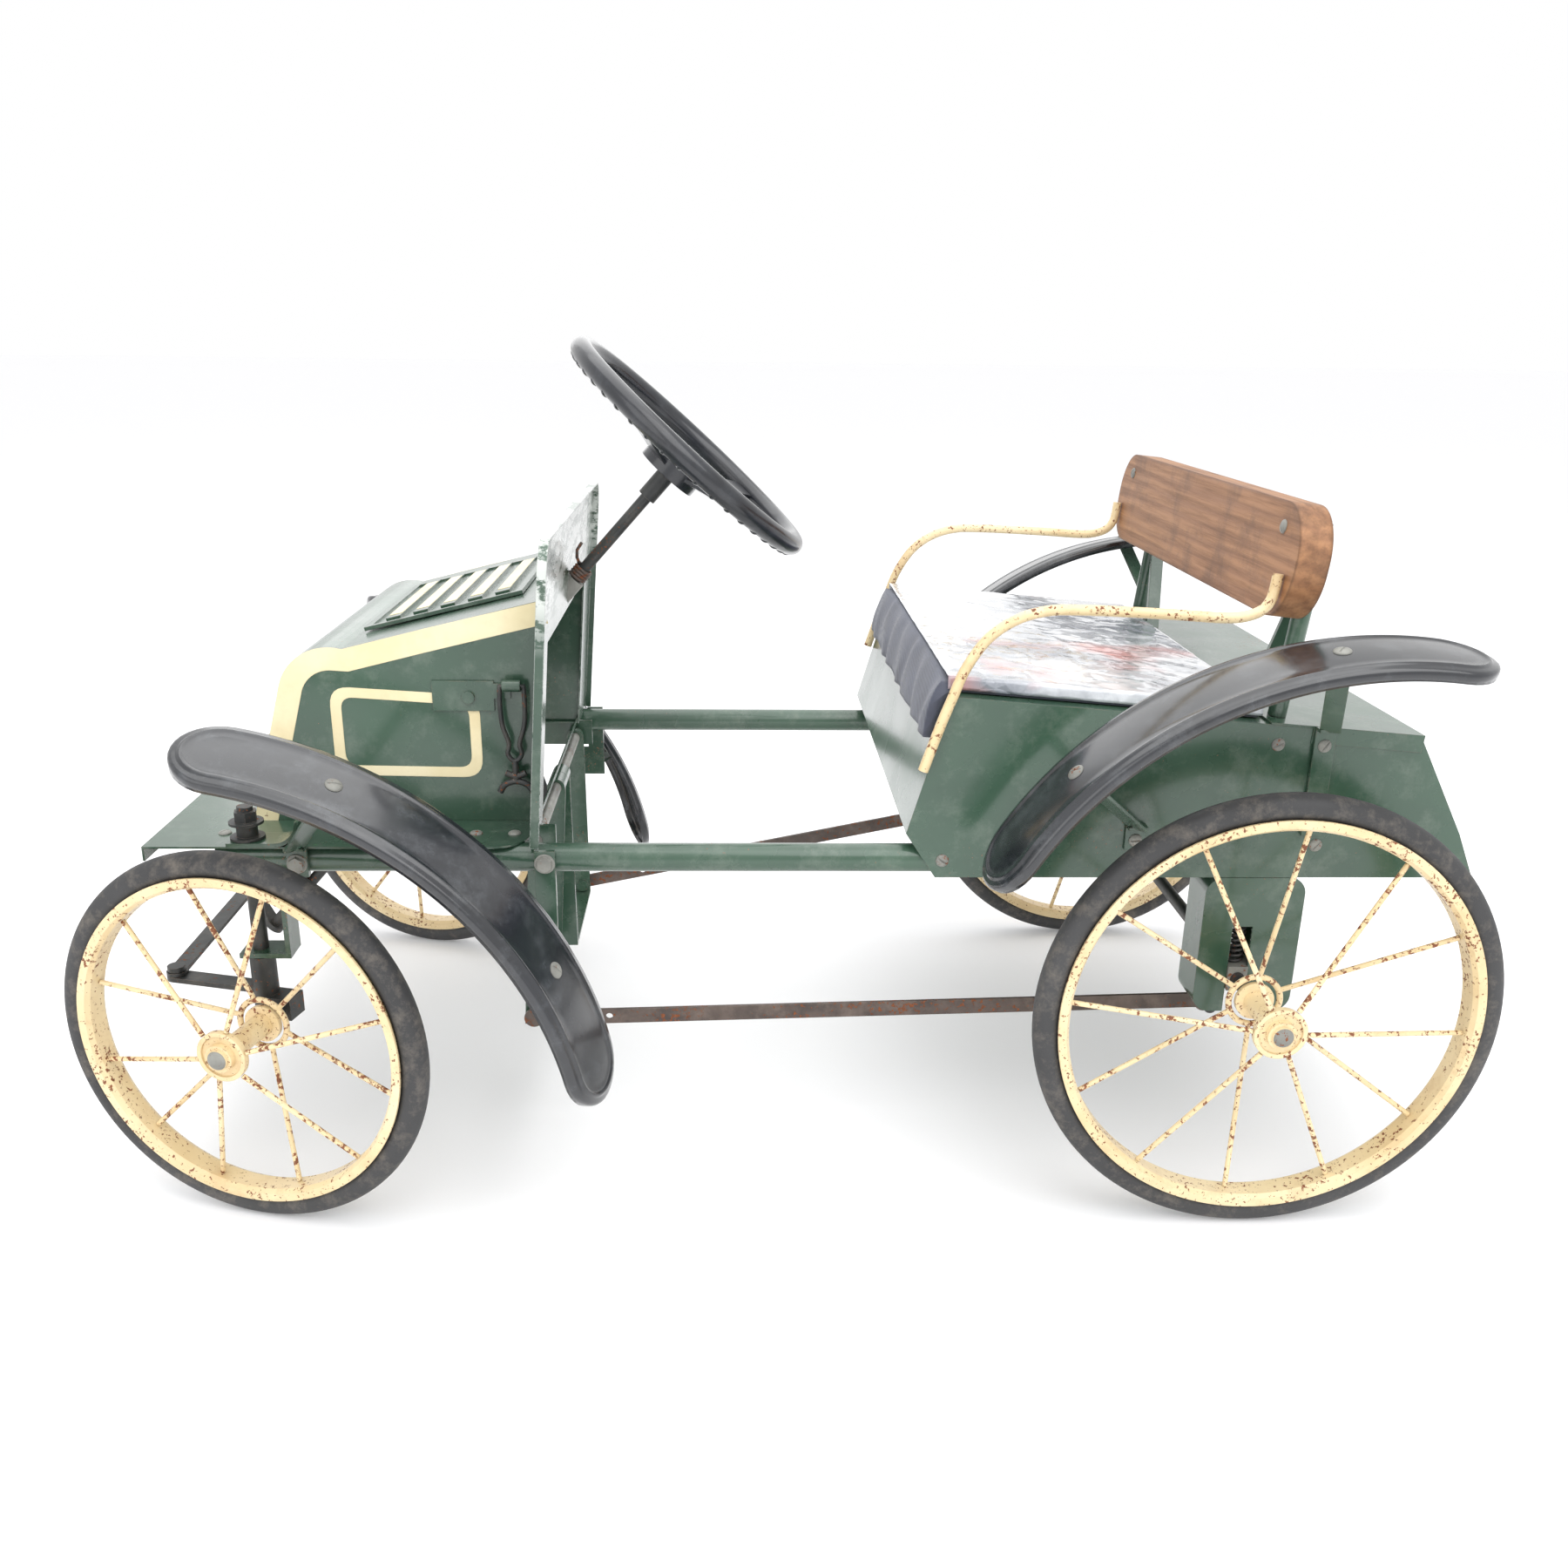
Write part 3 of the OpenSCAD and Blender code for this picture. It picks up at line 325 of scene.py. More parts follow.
def boardWood(look):
    material, tree, shader = newMaterial("boardWood")
    along = objectPlace(tree, (26, 2.6, 34), (0.4, 0.2, 0))
    fine = objectPlace(tree, (160, 7, 210))
    at = objectPlace(tree)
    rounded = softNormal(tree, 0.004)
    rings = tree.nodes.new("ShaderNodeTexWave")
    rings.wave_type = "RINGS"
    rings.rings_direction = "Y"
    tree.links.new(along, rings.inputs["Vector"])
    for name, number in (("Scale", 0.8), ("Distortion", 5.5), ("Detail", 5), ("Detail Scale", 1.4)):
        rings.inputs[name].default_value = number
    grain = noiseField(tree, fine, 1.0, 6, 0.7)
    ringTone = ramp(tree, rings.outputs["Fac"], 0, 1, 0.3, 0.75)
    base = blendColour(tree, ringTone, colour(look["dark"]), colour(look["light"]))
    base = blendColour(tree, ramp(tree, grain, 0.42, 0.66, 0, 0.5), base, colour(look["pore"]))
    stain = ramp(tree, noiseField(tree, at, 16, 7, 0.7), 0.5, 0.68, 0, look["stain"])
    base = blendColour(tree, stain, base, colour(look["stainColour"]))
    edges = edgeMask(tree, rounded, 0.02, 0.25)
    base = blendColour(tree, calc(tree, "MULTIPLY", edges, 0.5), base, colour(look["stainColour"]))
    fill(tree, shader.inputs["Base Color"], base)
    fill(tree, shader.inputs["Roughness"], ramp(tree, grain, 0.3, 0.7, 0.42, 0.62))
    height = calc(tree, "ADD", grain, calc(tree, "MULTIPLY", rings.outputs["Fac"], 0.3))
    fill(tree, shader.inputs["Normal"], bump(tree, height, 0.0008, 0.35, rounded))
    return material


woodLook = {
    "dark": "#83593c", "light": "#b08058", "pore": "#553a29", "stain": 0.62,
    "stainColour": "#5f4433",
}


def wovenFabric(look):
    material, tree, shader = newMaterial("seatFabric")
    at = objectPlace(tree)
    threads = []
    for axis in ("X", "Y"):
        wave = tree.nodes.new("ShaderNodeTexWave")
        wave.bands_direction = axis
        tree.links.new(at, wave.inputs["Vector"])
        wave.inputs["Scale"].default_value = look["threadScale"]
        wave.inputs["Distortion"].default_value = 0.6
        threads.append(wave.outputs["Fac"])
    weave = calc(tree, "MULTIPLY", threads[0], threads[1])
    tone = ramp(tree, noiseField(tree, at, 26, 5), 0.3, 0.7)
    base = blendColour(tree, tone, colour(look["dark"]), colour(look["light"]))
    base = blendColour(tree, calc(tree, "MULTIPLY", weave, 0.35), base, colour(look["thread"]))
    fill(tree, shader.inputs["Base Color"], base)
    fill(tree, shader.inputs["Roughness"], ramp(tree, weave, 0, 1, 0.72, 0.9))
    shader.inputs["Sheen Weight"].default_value = 0.25
    fill(tree, shader.inputs["Normal"], bump(tree, weave, 0.0004, 0.5))
    return material


fabricLook = {"dark": "#3c3f4b", "light": "#535766", "thread": "#72768a", "threadScale": 240}


def crinkledFilm(look):
    material, tree, shader = newMaterial("seatFilm")
    at = objectPlace(tree)
    cloud = ramp(tree, noiseField(tree, at, 9, 6, 0.6), 0.4, 0.62)
    base = blendColour(tree, cloud, colour(look["clear"]), colour(look["white"]))
    smear = ramp(tree, noiseField(tree, objectPlace(tree, (1, 1, 1), (3, 1, 0)), 7, 4), 0.57, 0.68)
    smear = calc(tree, "MULTIPLY", smear, look["smear"])
    base = blendColour(tree, smear, base, colour(look["red"]))
    fold = tree.nodes.new("ShaderNodeTexVoronoi")
    fold.feature = "DISTANCE_TO_EDGE"
    warped = tree.nodes.new("ShaderNodeVectorMath")
    warped.operation = "MULTIPLY_ADD"
    swirl = tree.nodes.new("ShaderNodeTexNoise")
    tree.links.new(at, swirl.inputs["Vector"])
    swirl.inputs["Scale"].default_value = 12
    tree.links.new(swirl.outputs["Color"], warped.inputs[0])
    warped.inputs[1].default_value = (0.06, 0.06, 0.06)
    tree.links.new(at, warped.inputs[2])
    tree.links.new(warped.outputs[0], fold.inputs["Vector"])
    fold.inputs["Scale"].default_value = 22
    crease = ramp(tree, fold.outputs["Distance"], 0.0, 0.12)
    height = calc(tree, "ADD", crease, noiseField(tree, at, 34, 5))
    fill(tree, shader.inputs["Base Color"], base)
    gloss = ramp(tree, noiseField(tree, at, 50), 0.3, 0.7, 0.08, 0.3)
    fill(tree, shader.inputs["Roughness"], gloss)
    shader.inputs["Coat Weight"].default_value = 1.0
    shader.inputs["Coat Roughness"].default_value = 0.05
    fill(tree, shader.inputs["Normal"], bump(tree, height, 0.003, 0.55))
    return material


filmLook = {"clear": "#8e939d", "white": "#eef1f5", "red": "#d9776a", "smear": 0.65}

finish = {
    "green": wornPaint("greenPaint", greenLook),
    "rail": wornPaint("railPaint", railLook),
    "dash": wornPaint("dashPaint", dashLook),
    "trim": wornPaint("trimPaint", trimLook),
    "wheel": wornPaint("wheelPaint", wheelLook),
    "spoke": wornPaint("spokePaint", spokeLook),
    "guard": wornPaint("guardPaint", guardLook),
    "steel": wornPaint("wornSteel", steelLook),
    "rust": wornPaint("rustySteel", rustLook),
    "iron": wornPaint("darkIron", ironLook),
    "plastic": wornPaint("rimPlastic", plasticLook),
    "tyre": tyreRubber(tyreLook),
    "wood": boardWood(woodLook),
    "fabric": wovenFabric(fabricLook),
    "film": crinkledFilm(filmLook),
}

finishOf = {
    "green": [
        "kingpin_brackets", "bonnet", "louvre_panel", "shaft_brackets", "catch_straps",
        "front_stays", "rear_stays", "seat_box", "rear_deck", "seat_posts",
        "axle_hanger_left", "axle_hanger_right", "pedal_left", "pedal_right",
    ],
    "rail": ["left_rail", "right_rail", "front_tray"],
    "dash": ["dash_panel"],
    "steel": ["column_bracket", "pedal_shaft", "axle_blocks"],
    "rust": ["connecting_rod_left", "connecting_rod_right"],
    "iron": ["knuckle_left", "knuckle_right", "crank_axle", "steering_column", "track_rod"],
    "plastic": ["steering_wheel_rim", "steering_wheel_spider"],
    "wood": ["backrest_board"],
}
for name in nodes:
    if name.endswith("_tyre"):
        finishOf.setdefault("tyre", []).append(name)
    if name.endswith("_spokes"):
        finishOf.setdefault("spoke", []).append(name)
    if name.endswith(("_rim", "_hub")) and not name.startswith("steering"):
        finishOf.setdefault("wheel", []).append(name)
for key, names in finishOf.items():
    for name in names:
        for materialSlot in nodes[name].material_slots:
            materialSlot.material = finish[key]


def addPiece(name, mesh, body, materialKey, smooth=True):
    piece = bpy.data.objects.new(name, mesh)
    scene.collection.objects.link(piece)
    if not mesh.materials:
        mesh.materials.append(finish[materialKey])
    if smooth:
        mesh.polygons.foreach_set("use_smooth", [True] * len(mesh.polygons))
    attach(piece, body)
    return piece


# Trees that sweep wires and set out screw heads and grip bumps


def newTree(name, inputs):
    tree = bpy.data.node_groups.new(name, "GeometryNodeTree")
    tree.interface.new_socket("Geometry", in_out="INPUT", socket_type="NodeSocketGeometry")
    for label, kind in inputs:
        tree.interface.new_socket(label, in_out="INPUT", socket_type=kind)
    tree.interface.new_socket("Geometry", in_out="OUTPUT", socket_type="NodeSocketGeometry")
    return tree, tree.nodes.new("NodeGroupInput"), tree.nodes.new("NodeGroupOutput")


def endTree(tree, entry, leave, geometry):
    realize = tree.nodes.new("GeometryNodeRealizeInstances")
    paint = tree.nodes.new("GeometryNodeSetMaterial")
    smooth = tree.nodes.new("GeometryNodeSetShadeSmooth")
    tree.links.new(geometry, realize.inputs[0])
    tree.links.new(realize.outputs[0], smooth.inputs[0])
    tree.links.new(smooth.outputs[0], paint.inputs[0])
    tree.links.new(entry.outputs["Material"], paint.inputs["Material"])
    tree.links.new(paint.outputs[0], leave.inputs[0])


def makeSweepTree():
    tree, entry, leave = newTree("sweepWire", [
        ("Radius", "NodeSocketFloat"), ("Sides", "NodeSocketInt"),
        ("Material", "NodeSocketMaterial"),
    ])
    toCurve = tree.nodes.new("GeometryNodeMeshToCurve")
    ring = tree.nodes.new("GeometryNodeCurvePrimitiveCircle")
    sweep = tree.nodes.new("GeometryNodeCurveToMesh")
    tree.links.new(entry.outputs["Geometry"], toCurve.inputs["Mesh"])
    tree.links.new(entry.outputs["Sides"], ring.inputs["Resolution"])
    tree.links.new(entry.outputs["Radius"], ring.inputs["Radius"])
    tree.links.new(toCurve.outputs[0], sweep.inputs["Curve"])
    tree.links.new(ring.outputs[0], sweep.inputs["Profile Curve"])
    sweep.inputs["Fill Caps"].default_value = True
    endTree(tree, entry, leave, sweep.outputs[0])
    return tree


def makeHeadTree():
    tree, entry, leave = newTree("screwHeads", [
        ("Head Radius", "NodeSocketFloat"), ("Head Height", "NodeSocketFloat"),
        ("Slot Width", "NodeSocketFloat"), ("Material", "NodeSocketMaterial"),
    ])
    dome = tree.nodes.new("GeometryNodeMeshUVSphere")
    dome.inputs["Segments"].default_value = 20
    dome.inputs["Rings"].default_value = 10
    tree.links.new(entry.outputs["Head Radius"], dome.inputs["Radius"])
    flatten = tree.nodes.new("ShaderNodeMath")
    flatten.operation = "DIVIDE"
    tree.links.new(entry.outputs["Head Height"], flatten.inputs[0])
    tree.links.new(entry.outputs["Head Radius"], flatten.inputs[1])
    scaling = tree.nodes.new("ShaderNodeCombineXYZ")
    scaling.inputs[0].default_value = 1
    scaling.inputs[1].default_value = 1
    tree.links.new(flatten.outputs[0], scaling.inputs[2])
    shape = tree.nodes.new("GeometryNodeTransform")
    tree.links.new(dome.outputs[0], shape.inputs["Geometry"])
    tree.links.new(scaling.outputs[0], shape.inputs["Scale"])
    cutter = tree.nodes.new("GeometryNodeMeshCube")
    size = tree.nodes.new("ShaderNodeCombineXYZ")
    size.inputs[0].default_value = 0.03
    tree.links.new(entry.outputs["Slot Width"], size.inputs[1])
    tree.links.new(entry.outputs["Head Height"], size.inputs[2])
    tree.links.new(size.outputs[0], cutter.inputs["Size"])
    lift = tree.nodes.new("ShaderNodeCombineXYZ")
    tree.links.new(entry.outputs["Head Height"], lift.inputs[2])
    raised = tree.nodes.new("GeometryNodeTransform")
    tree.links.new(cutter.outputs[0], raised.inputs["Geometry"])
    tree.links.new(lift.outputs[0], raised.inputs["Translation"])
    slotted = tree.nodes.new("GeometryNodeMeshBoolean")
    slotted.operation = "DIFFERENCE"
    tree.links.new(shape.outputs[0], slotted.inputs["Mesh 1"])
    tree.links.new(raised.outputs[0], slotted.inputs["Mesh 2"])
    facing = tree.nodes.new("GeometryNodeInputNamedAttribute")
    facing.data_type = "FLOAT_VECTOR"
    facing.inputs["Name"].default_value = "facing"
    align = tree.nodes.new("FunctionNodeAlignRotationToVector")
    align.axis = "Z"
    tree.links.new(facing.outputs["Attribute"], align.inputs["Vector"])
    spin = tree.nodes.new("FunctionNodeRandomValue")
    spin.data_type = "FLOAT_VECTOR"
    spin.inputs["Max"].default_value = (0, 0, 6.28)
    spin.inputs["Seed"].default_value = 5
    put = tree.nodes.new("GeometryNodeInstanceOnPoints")
    tree.links.new(entry.outputs["Geometry"], put.inputs["Points"])
    tree.links.new(slotted.outputs[0], put.inputs["Instance"])
    tree.links.new(align.outputs[0], put.inputs["Rotation"])
    turn = tree.nodes.new("GeometryNodeRotateInstances")
    tree.links.new(put.outputs[0], turn.inputs["Instances"])
    tree.links.new(spin.outputs["Value"], turn.inputs["Rotation"])
    endTree(tree, entry, leave, turn.outputs[0])
    return tree


def makeBeadTree():
    tree, entry, leave = newTree("gripBumps", [
        ("Length", "NodeSocketFloat"), ("Radius", "NodeSocketFloat"),
        ("Material", "NodeSocketMaterial"),
    ])
    ball = tree.nodes.new("GeometryNodeMeshUVSphere")
    ball.inputs["Segments"].default_value = 12
    ball.inputs["Rings"].default_value = 8
    tree.links.new(entry.outputs["Radius"], ball.inputs["Radius"])
    facing = tree.nodes.new("GeometryNodeInputNamedAttribute")
    facing.data_type = "FLOAT_VECTOR"
    facing.inputs["Name"].default_value = "facing"
    align = tree.nodes.new("FunctionNodeAlignRotationToVector")
    align.axis = "Z"
    tree.links.new(facing.outputs["Attribute"], align.inputs["Vector"])
    size = tree.nodes.new("ShaderNodeCombineXYZ")
    size.inputs[0].default_value = 1
    size.inputs[1].default_value = 1
    tree.links.new(entry.outputs["Length"], size.inputs[2])
    put = tree.nodes.new("GeometryNodeInstanceOnPoints")
    tree.links.new(entry.outputs["Geometry"], put.inputs["Points"])
    tree.links.new(ball.outputs[0], put.inputs["Instance"])
    tree.links.new(align.outputs[0], put.inputs["Rotation"])
    tree.links.new(size.outputs[0], put.inputs["Scale"])
    endTree(tree, entry, leave, put.outputs[0])
    return tree


sweepTree = makeSweepTree()
headTree = makeHeadTree()
beadTree = makeBeadTree()


def runTree(name, source, tree, values, body):
    carrier = bpy.data.objects.new(name + "Source", source)
    scene.collection.objects.link(carrier)
    modifier = carrier.modifiers.new("build", "NODES")
    modifier.node_group = tree
    for item in tree.interface.items_tree:
        if item.in_out == "INPUT" and item.name in values:
            modifier[item.identifier] = values[item.name]
    evaluated = carrier.evaluated_get(bpy.context.evaluated_depsgraph_get())
    mesh = bpy.data.meshes.new_from_object(evaluated)
    mesh.name = name
    bpy.data.objects.remove(carrier)
    return addPiece(name, mesh, body, None)


def pathMesh(paths, closed=False):
    mesh = bpy.data.meshes.new("path")
    points, edges = [], []
    for path in paths:
        start = len(points)
        points += path
        edges += [(start + i, start + i + 1) for i in range(len(path) - 1)]
        if closed:
            edges.append((start + len(path) - 1, start))
    mesh.from_pydata(points, edges, [])
    return mesh


def facingMesh(spots):
    mesh = bpy.data.meshes.new("spots")
    mesh.from_pydata([spot[0] for spot in spots], [], [])
    facing = mesh.attributes.new("facing", "FLOAT_VECTOR", "POINT")
    for index, spot in enumerate(spots):
        facing.data[index].vector = spot[1]
    return mesh


def sweepWire(name, paths, radius, body, materialKey, sides=10, closed=False):
    values = {"Radius": radius, "Sides": sides, "Material": finish[materialKey]}
    return runTree(name, pathMesh(paths, closed), sweepTree, values, body)


print("fasteners")
screwLook = {  # head sizes in metres, places in millimetres
    "headRadius": 0.0052, "headHeight": 0.0024, "slotWidth": 0.0011, "guardGrowth": 1.25,
    "trayX": (575, 605, 700, 800), "trayY": 186, "trayZ": 288.7,
    "boxSpots": ((242, 217.1, 278), (-8, 217.1, 372), (-48, 217.1, 291), (-42, 220.8, 372),
                 (94, 219.8, 296)),
    "board": (3.5, 201, 532.2), "boardFacing": (0.9945, 0, 0.1045),
}
sideOf = (1, -1)


# Middle x and z, radius, first and last turn in degrees, outward slope in degrees
frontArc = (819, 69, 321, 94.5, 173, 19)
rearArc = (-56, 153, 308, 25.5, 103, 8)
guardCentre = 285


def arcSpot(arc, turn):
    across = Vector((math.cos(math.radians(turn)), 0, math.sin(math.radians(turn))))
    centre = place(arc[0], guardCentre, arc[1])
    return centre + across * (arc[2] / 1000), across


screwSpots = []
boltSpots = []
for side in sideOf:
    for x in screwLook["trayX"]:
        at = place(x, side * screwLook["trayY"], screwLook["trayZ"])
        screwSpots.append((at, (0, 0, 1)))
    for x, y, z in screwLook["boxSpots"]:
        screwSpots.append((place(x, side * y, z), (0, side, 0)))
    x, y, z = screwLook["board"]
    screwSpots.append((place(x, side * y, z), screwLook["boardFacing"]))
    for arc, turns in ((frontArc, (115, 152.5)), (rearArc, (45, 82.5))):
        for turn in turns:
            at, out = arcSpot(arc, turn)
            slope = math.radians(arc[5])
            facing = out * math.cos(slope) + Vector((0, side * math.sin(slope), 0))
            boltSpots.append((Vector((at.x, side * at.y, at.z)), facing))
screws = runTree("screwHeads", facingMesh(screwSpots), headTree, {
    "Head Radius": screwLook["headRadius"], "Head Height": screwLook["headHeight"],
    "Slot Width": screwLook["slotWidth"], "Material": finish["steel"],
}, "chassis")
runTree("guardBolts", facingMesh(boltSpots), headTree, {
    "Head Radius": screwLook["headRadius"] * screwLook["guardGrowth"],
    "Head Height": screwLook["headHeight"],
    "Slot Width": screwLook["slotWidth"], "Material": finish["steel"],
}, "chassis")
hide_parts("screws")

boltLook = {
    "radius": 6.5, "high": 4.4, "washer": 8.0, "washerHigh": 1.2, "taper": 0.5,
    "face": 219.9, "places": (548, 736), "height": 276,
}


def railBolts(look):
    mesh = bpy.data.meshes.new("railBolts")
    shape = bmesh.new()
    for side in sideOf:
        lay = Matrix.Rotation(-side * math.pi / 2, 4, "X")
        for x in look["places"]:
            for sides, radius, low, high in (
                (32, look["washer"], 0.0, look["washerHigh"]),
                (6, look["radius"], look["washerHigh"], look["high"]),
            ):
                middle = place(x, side * (look["face"] + (low + high) / 2), look["height"])
                bmesh.ops.create_cone(
                    shape, cap_ends=True, segments=sides, radius1=radius / 1000,
                    radius2=(radius - look["taper"]) / 1000, depth=(high - low) / 1000,
                    matrix=Matrix.Translation(middle) @ lay,
                )
    shape.to_mesh(mesh)
    shape.free()
    return mesh


addPiece("railBolts", railBolts(boltLook), "chassis", "steel", False)

print("hub caps")
capLook = {"radius": 7.6, "high": 2.2, "out": 34.9, "turned": -14.8}
wheelSpots = {  # wheel centre, side and turn; the front wheels stand turned to the right
    "front_left_wheel": (Vector((0.402847, 0.268029, 0.152)), 1, capLook["turned"]),
    "front_right_wheel": (Vector((0.371836, -0.259344, 0.152)), -1, capLook["turned"]),
    "driven_axle": (place(0, 285, 178), 1, 0),
    "rear_right_wheel": (place(0, -285, 178), -1, 0),
}


def capMesh(centre, side, turned, look):
    mesh = bpy.data.meshes.new("hubCap")
    shape = bmesh.new()
    axis = Matrix.Rotation(math.radians(turned), 3, "Z") @ Vector((0, side, 0))
    turn = axis.to_track_quat("Z", "Y").to_matrix().to_4x4()
    radius, high = look["radius"] / 1000, look["high"] / 1000
    size = Matrix.Diagonal((radius, radius, high, 1))
    move = Matrix.Translation(centre + axis * look["out"] / 1000)
    bmesh.ops.create_uvsphere(
        shape, u_segments=24, v_segments=12, radius=1, matrix=move @ turn @ size
    )
    shape.to_mesh(mesh)
    shape.free()
    return mesh


for body, (centre, side, turned) in wheelSpots.items():
    cap = capMesh(centre, side, turned, capLook)
    addPiece("hubCap_" + body, cap, body, "steel")

print("steering wheel")
gripLook = {"count": 44, "rimRadius": 118, "lift": 6.6, "bumpRadius": 3.6, "bumpLength": 1.5}
columnTurn = Euler((0, math.radians(-42), 0)).to_matrix()
wheelCentre = place(440, 0, 569)


def onColumn(x, y, z):
    return wheelCentre + columnTurn @ Vector((x, y, z)) / 1000


bumps = []
for step in range(gripLook["count"]):
    turn = math.tau * step / gripLook["count"]
    out = Vector((math.cos(turn), math.sin(turn), 0))
    at = onColumn(*(out * gripLook["rimRadius"]).xy, -gripLook["lift"])
    bumps.append((at, columnTurn @ out))
runTree("gripBumps", facingMesh(bumps), beadTree, {
    "Length": gripLook["bumpLength"], "Radius": gripLook["bumpRadius"] / 1000,
    "Material": finish["plastic"],
}, "steering")

print("wires")
springLook = {
    "turns": 7, "coil": 6.2, "wire": 1.15, "low": 189.4, "high": 220.6, "stepsPerTurn": 20,
    "side": 206,
}


def coil(centre, look):
    steps = look["turns"] * look["stepsPerTurn"]
    rise = look["high"] - look["low"]
    return [
        centre + Vector((
            look["coil"] * math.cos(math.tau * i / look["stepsPerTurn"]) / 1000,
            look["coil"] * math.sin(math.tau * i / look["stepsPerTurn"]) / 1000,
            (look["low"] + rise * i / steps) / 1000,
        ))
        for i in range(steps + 1)
    ]


springs = sweepWire(
    "hangerSprings", [coil(place(0, side * springLook["side"], 0), springLook) for side in sideOf],
    springLook["wire"] / 1000, "chassis", "iron", 8,
)
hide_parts("hanger_springs")
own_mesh(springs)

tieLook = {
    "turns": 4, "radius": 7.1, "wire": 1.4, "down": 148.3, "pitch": 2.7, "perTurn": 20,
    "tail": ((8, 3, -136), (11, 6, -134), (15, 7, -129), (16, 4, -122)),
}
tiePath = [
    onColumn(
        tieLook["radius"] * math.cos(math.tau * i / tieLook["perTurn"]),
        tieLook["radius"] * math.sin(math.tau * i / tieLook["perTurn"]),
        -tieLook["down"] + tieLook["pitch"] * i / tieLook["perTurn"],
    )
    for i in range(tieLook["perTurn"] * tieLook["turns"] + 1)
]
tiePath += [onColumn(*point) for point in tieLook["tail"]]
tie = sweepWire("tieWire", [tiePath], tieLook["wire"] / 1000, "steering", "rust", 8)
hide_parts("tie_wire")


def smoothPath(points, steps):
    path = []
    count = len(points)
    for i in range(count - 1):
        before, start = points[max(i - 1, 0)], points[i]
        end, after = points[i + 1], points[min(i + 2, count - 1)]
        for k in range(steps):
            t = k / steps
            path.append(0.5 * (
                2 * start + (end - before) * t
                + (2 * before - 5 * start + 4 * end - after) * t * t
                + (3 * start - before - 3 * end + after) * t * t * t
            ))
    return path + [points[-1]]


armrestLook = {
    "radius": 4.0, "side": 222,
    "path": [
        (261, 352), (250, 386), (242, 408), (233, 431), (218, 453), (198, 467), (175, 473.5),
        (150, 474), (120, 473), (80, 471), (48, 469), (32, 470), (20, 474.5), (14.2, 482),
        (12.3, 491), (11.3, 501),
    ],
}
for side, label in ((1, "Left"), (-1, "Right")):
    points = [place(x, side * armrestLook["side"], z) for x, z in armrestLook["path"]]
    arm = sweepWire(
        "armrest" + label, [smoothPath(points, 8)], armrestLook["radius"] / 1000,
        "chassis", "wheel", 14,
    )
    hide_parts("armrest_" + label.lower())

print("bonnet catches")
loopLook = {
    "wire": 1.9, "bar": 2.6, "x": 575, "y": 164.6,
    "loop": [
        (9.2, 402), (9.6, 386), (8.4, 370), (4.2, 356), (5.4, 347), (0, 341.5), (-5.4, 347),
        (-4.2, 356), (-8.4, 370), (-9.6, 386), (-9.2, 402),
    ],
    "grip": [
        [(0, 342), (0, 326)], [(-13, 316), (-9, 322), (0, 325), (9, 322), (13, 316)],
        [(-8, 332), (0, 329), (8, 332)],
    ],
}


def loopPoints(line, side):
    flat = [Vector(point) for point in line]
    return [place(loopLook["x"] + p.x, side * loopLook["y"], p.y) for p in smoothPath(flat, 6)]


for side, label in ((1, "left"), (-1, "right")):
    loop = sweepWire(
        "catchLoop" + label.title(), [loopPoints(loopLook["loop"], side)],
        loopLook["wire"] / 1000, "catch_" + label, "iron", 12, True,
    )
    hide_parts("catch_loop_" + label)
    sweepWire(
        "catchGrip" + label.title(), [loopPoints(line, side) for line in loopLook["grip"]],
        loopLook["bar"] / 1000, "catch_" + label, "iron", 12,
    )

print("mudguards")
guardShape = {  # outer and inner are pairs: in from the edge, down from the crown
    "half": 35.0, "crown": 2.4, "steps": 60, "endSteps": 16,
    "outer": [
        (0, 8.6), (0, 4.6), (0.3, 2.2), (1.3, 0.7), (3, 0.1), (5.6, 0), (6.9, -0.5), (8.1, -1.4),
        (9.1, -1.4), (10.3, -0.5), (11.6, 0), (17, 0), (26, 0), (35, 0),
    ],
    "inner": [
        (1.3, 8.6), (1.4, 5), (1.8, 3.5), (2.9, 2.1), (5, 1.5), (12, 1.4), (24, 1.4), (35, 1.4),
    ],
}


def guardRing(arc, side, look, inset, drop):
    half = look["half"]
    reach = half - inset
    ease = math.degrees(half / arc[2])
    bend = math.degrees(reach / arc[2])
    first, last = arc[3] + ease, arc[4] - ease
    line = []
    for k in range(look["steps"] + 1):
        line.append((first + (last - first) * k / look["steps"], reach))
    for k in range(1, look["endSteps"]):
        swing = math.pi * k / look["endSteps"]
        line.append((last + bend * math.sin(swing), reach * math.cos(swing)))
    for k in range(look["steps"] + 1):
        line.append((last + (first - last) * k / look["steps"], -reach))
    for k in range(1, look["endSteps"]):
        swing = math.pi * k / look["endSteps"]
        line.append((first - bend * math.sin(swing), -reach * math.cos(swing)))
    ring = []
    for turn, offset in line:
        at, out = arcSpot(arc, turn)
        slope = math.radians(arc[5])
        fall = drop + look["crown"] * (offset / half) ** 2
        across = Vector((0, math.cos(slope), 0)) - out * math.sin(slope)
        facing = out * math.cos(slope) + Vector((0, math.sin(slope), 0))
        point = at + (across * offset - facing * fall) / 1000
        ring.append(Vector((point.x, side * point.y, point.z)))
    return ring


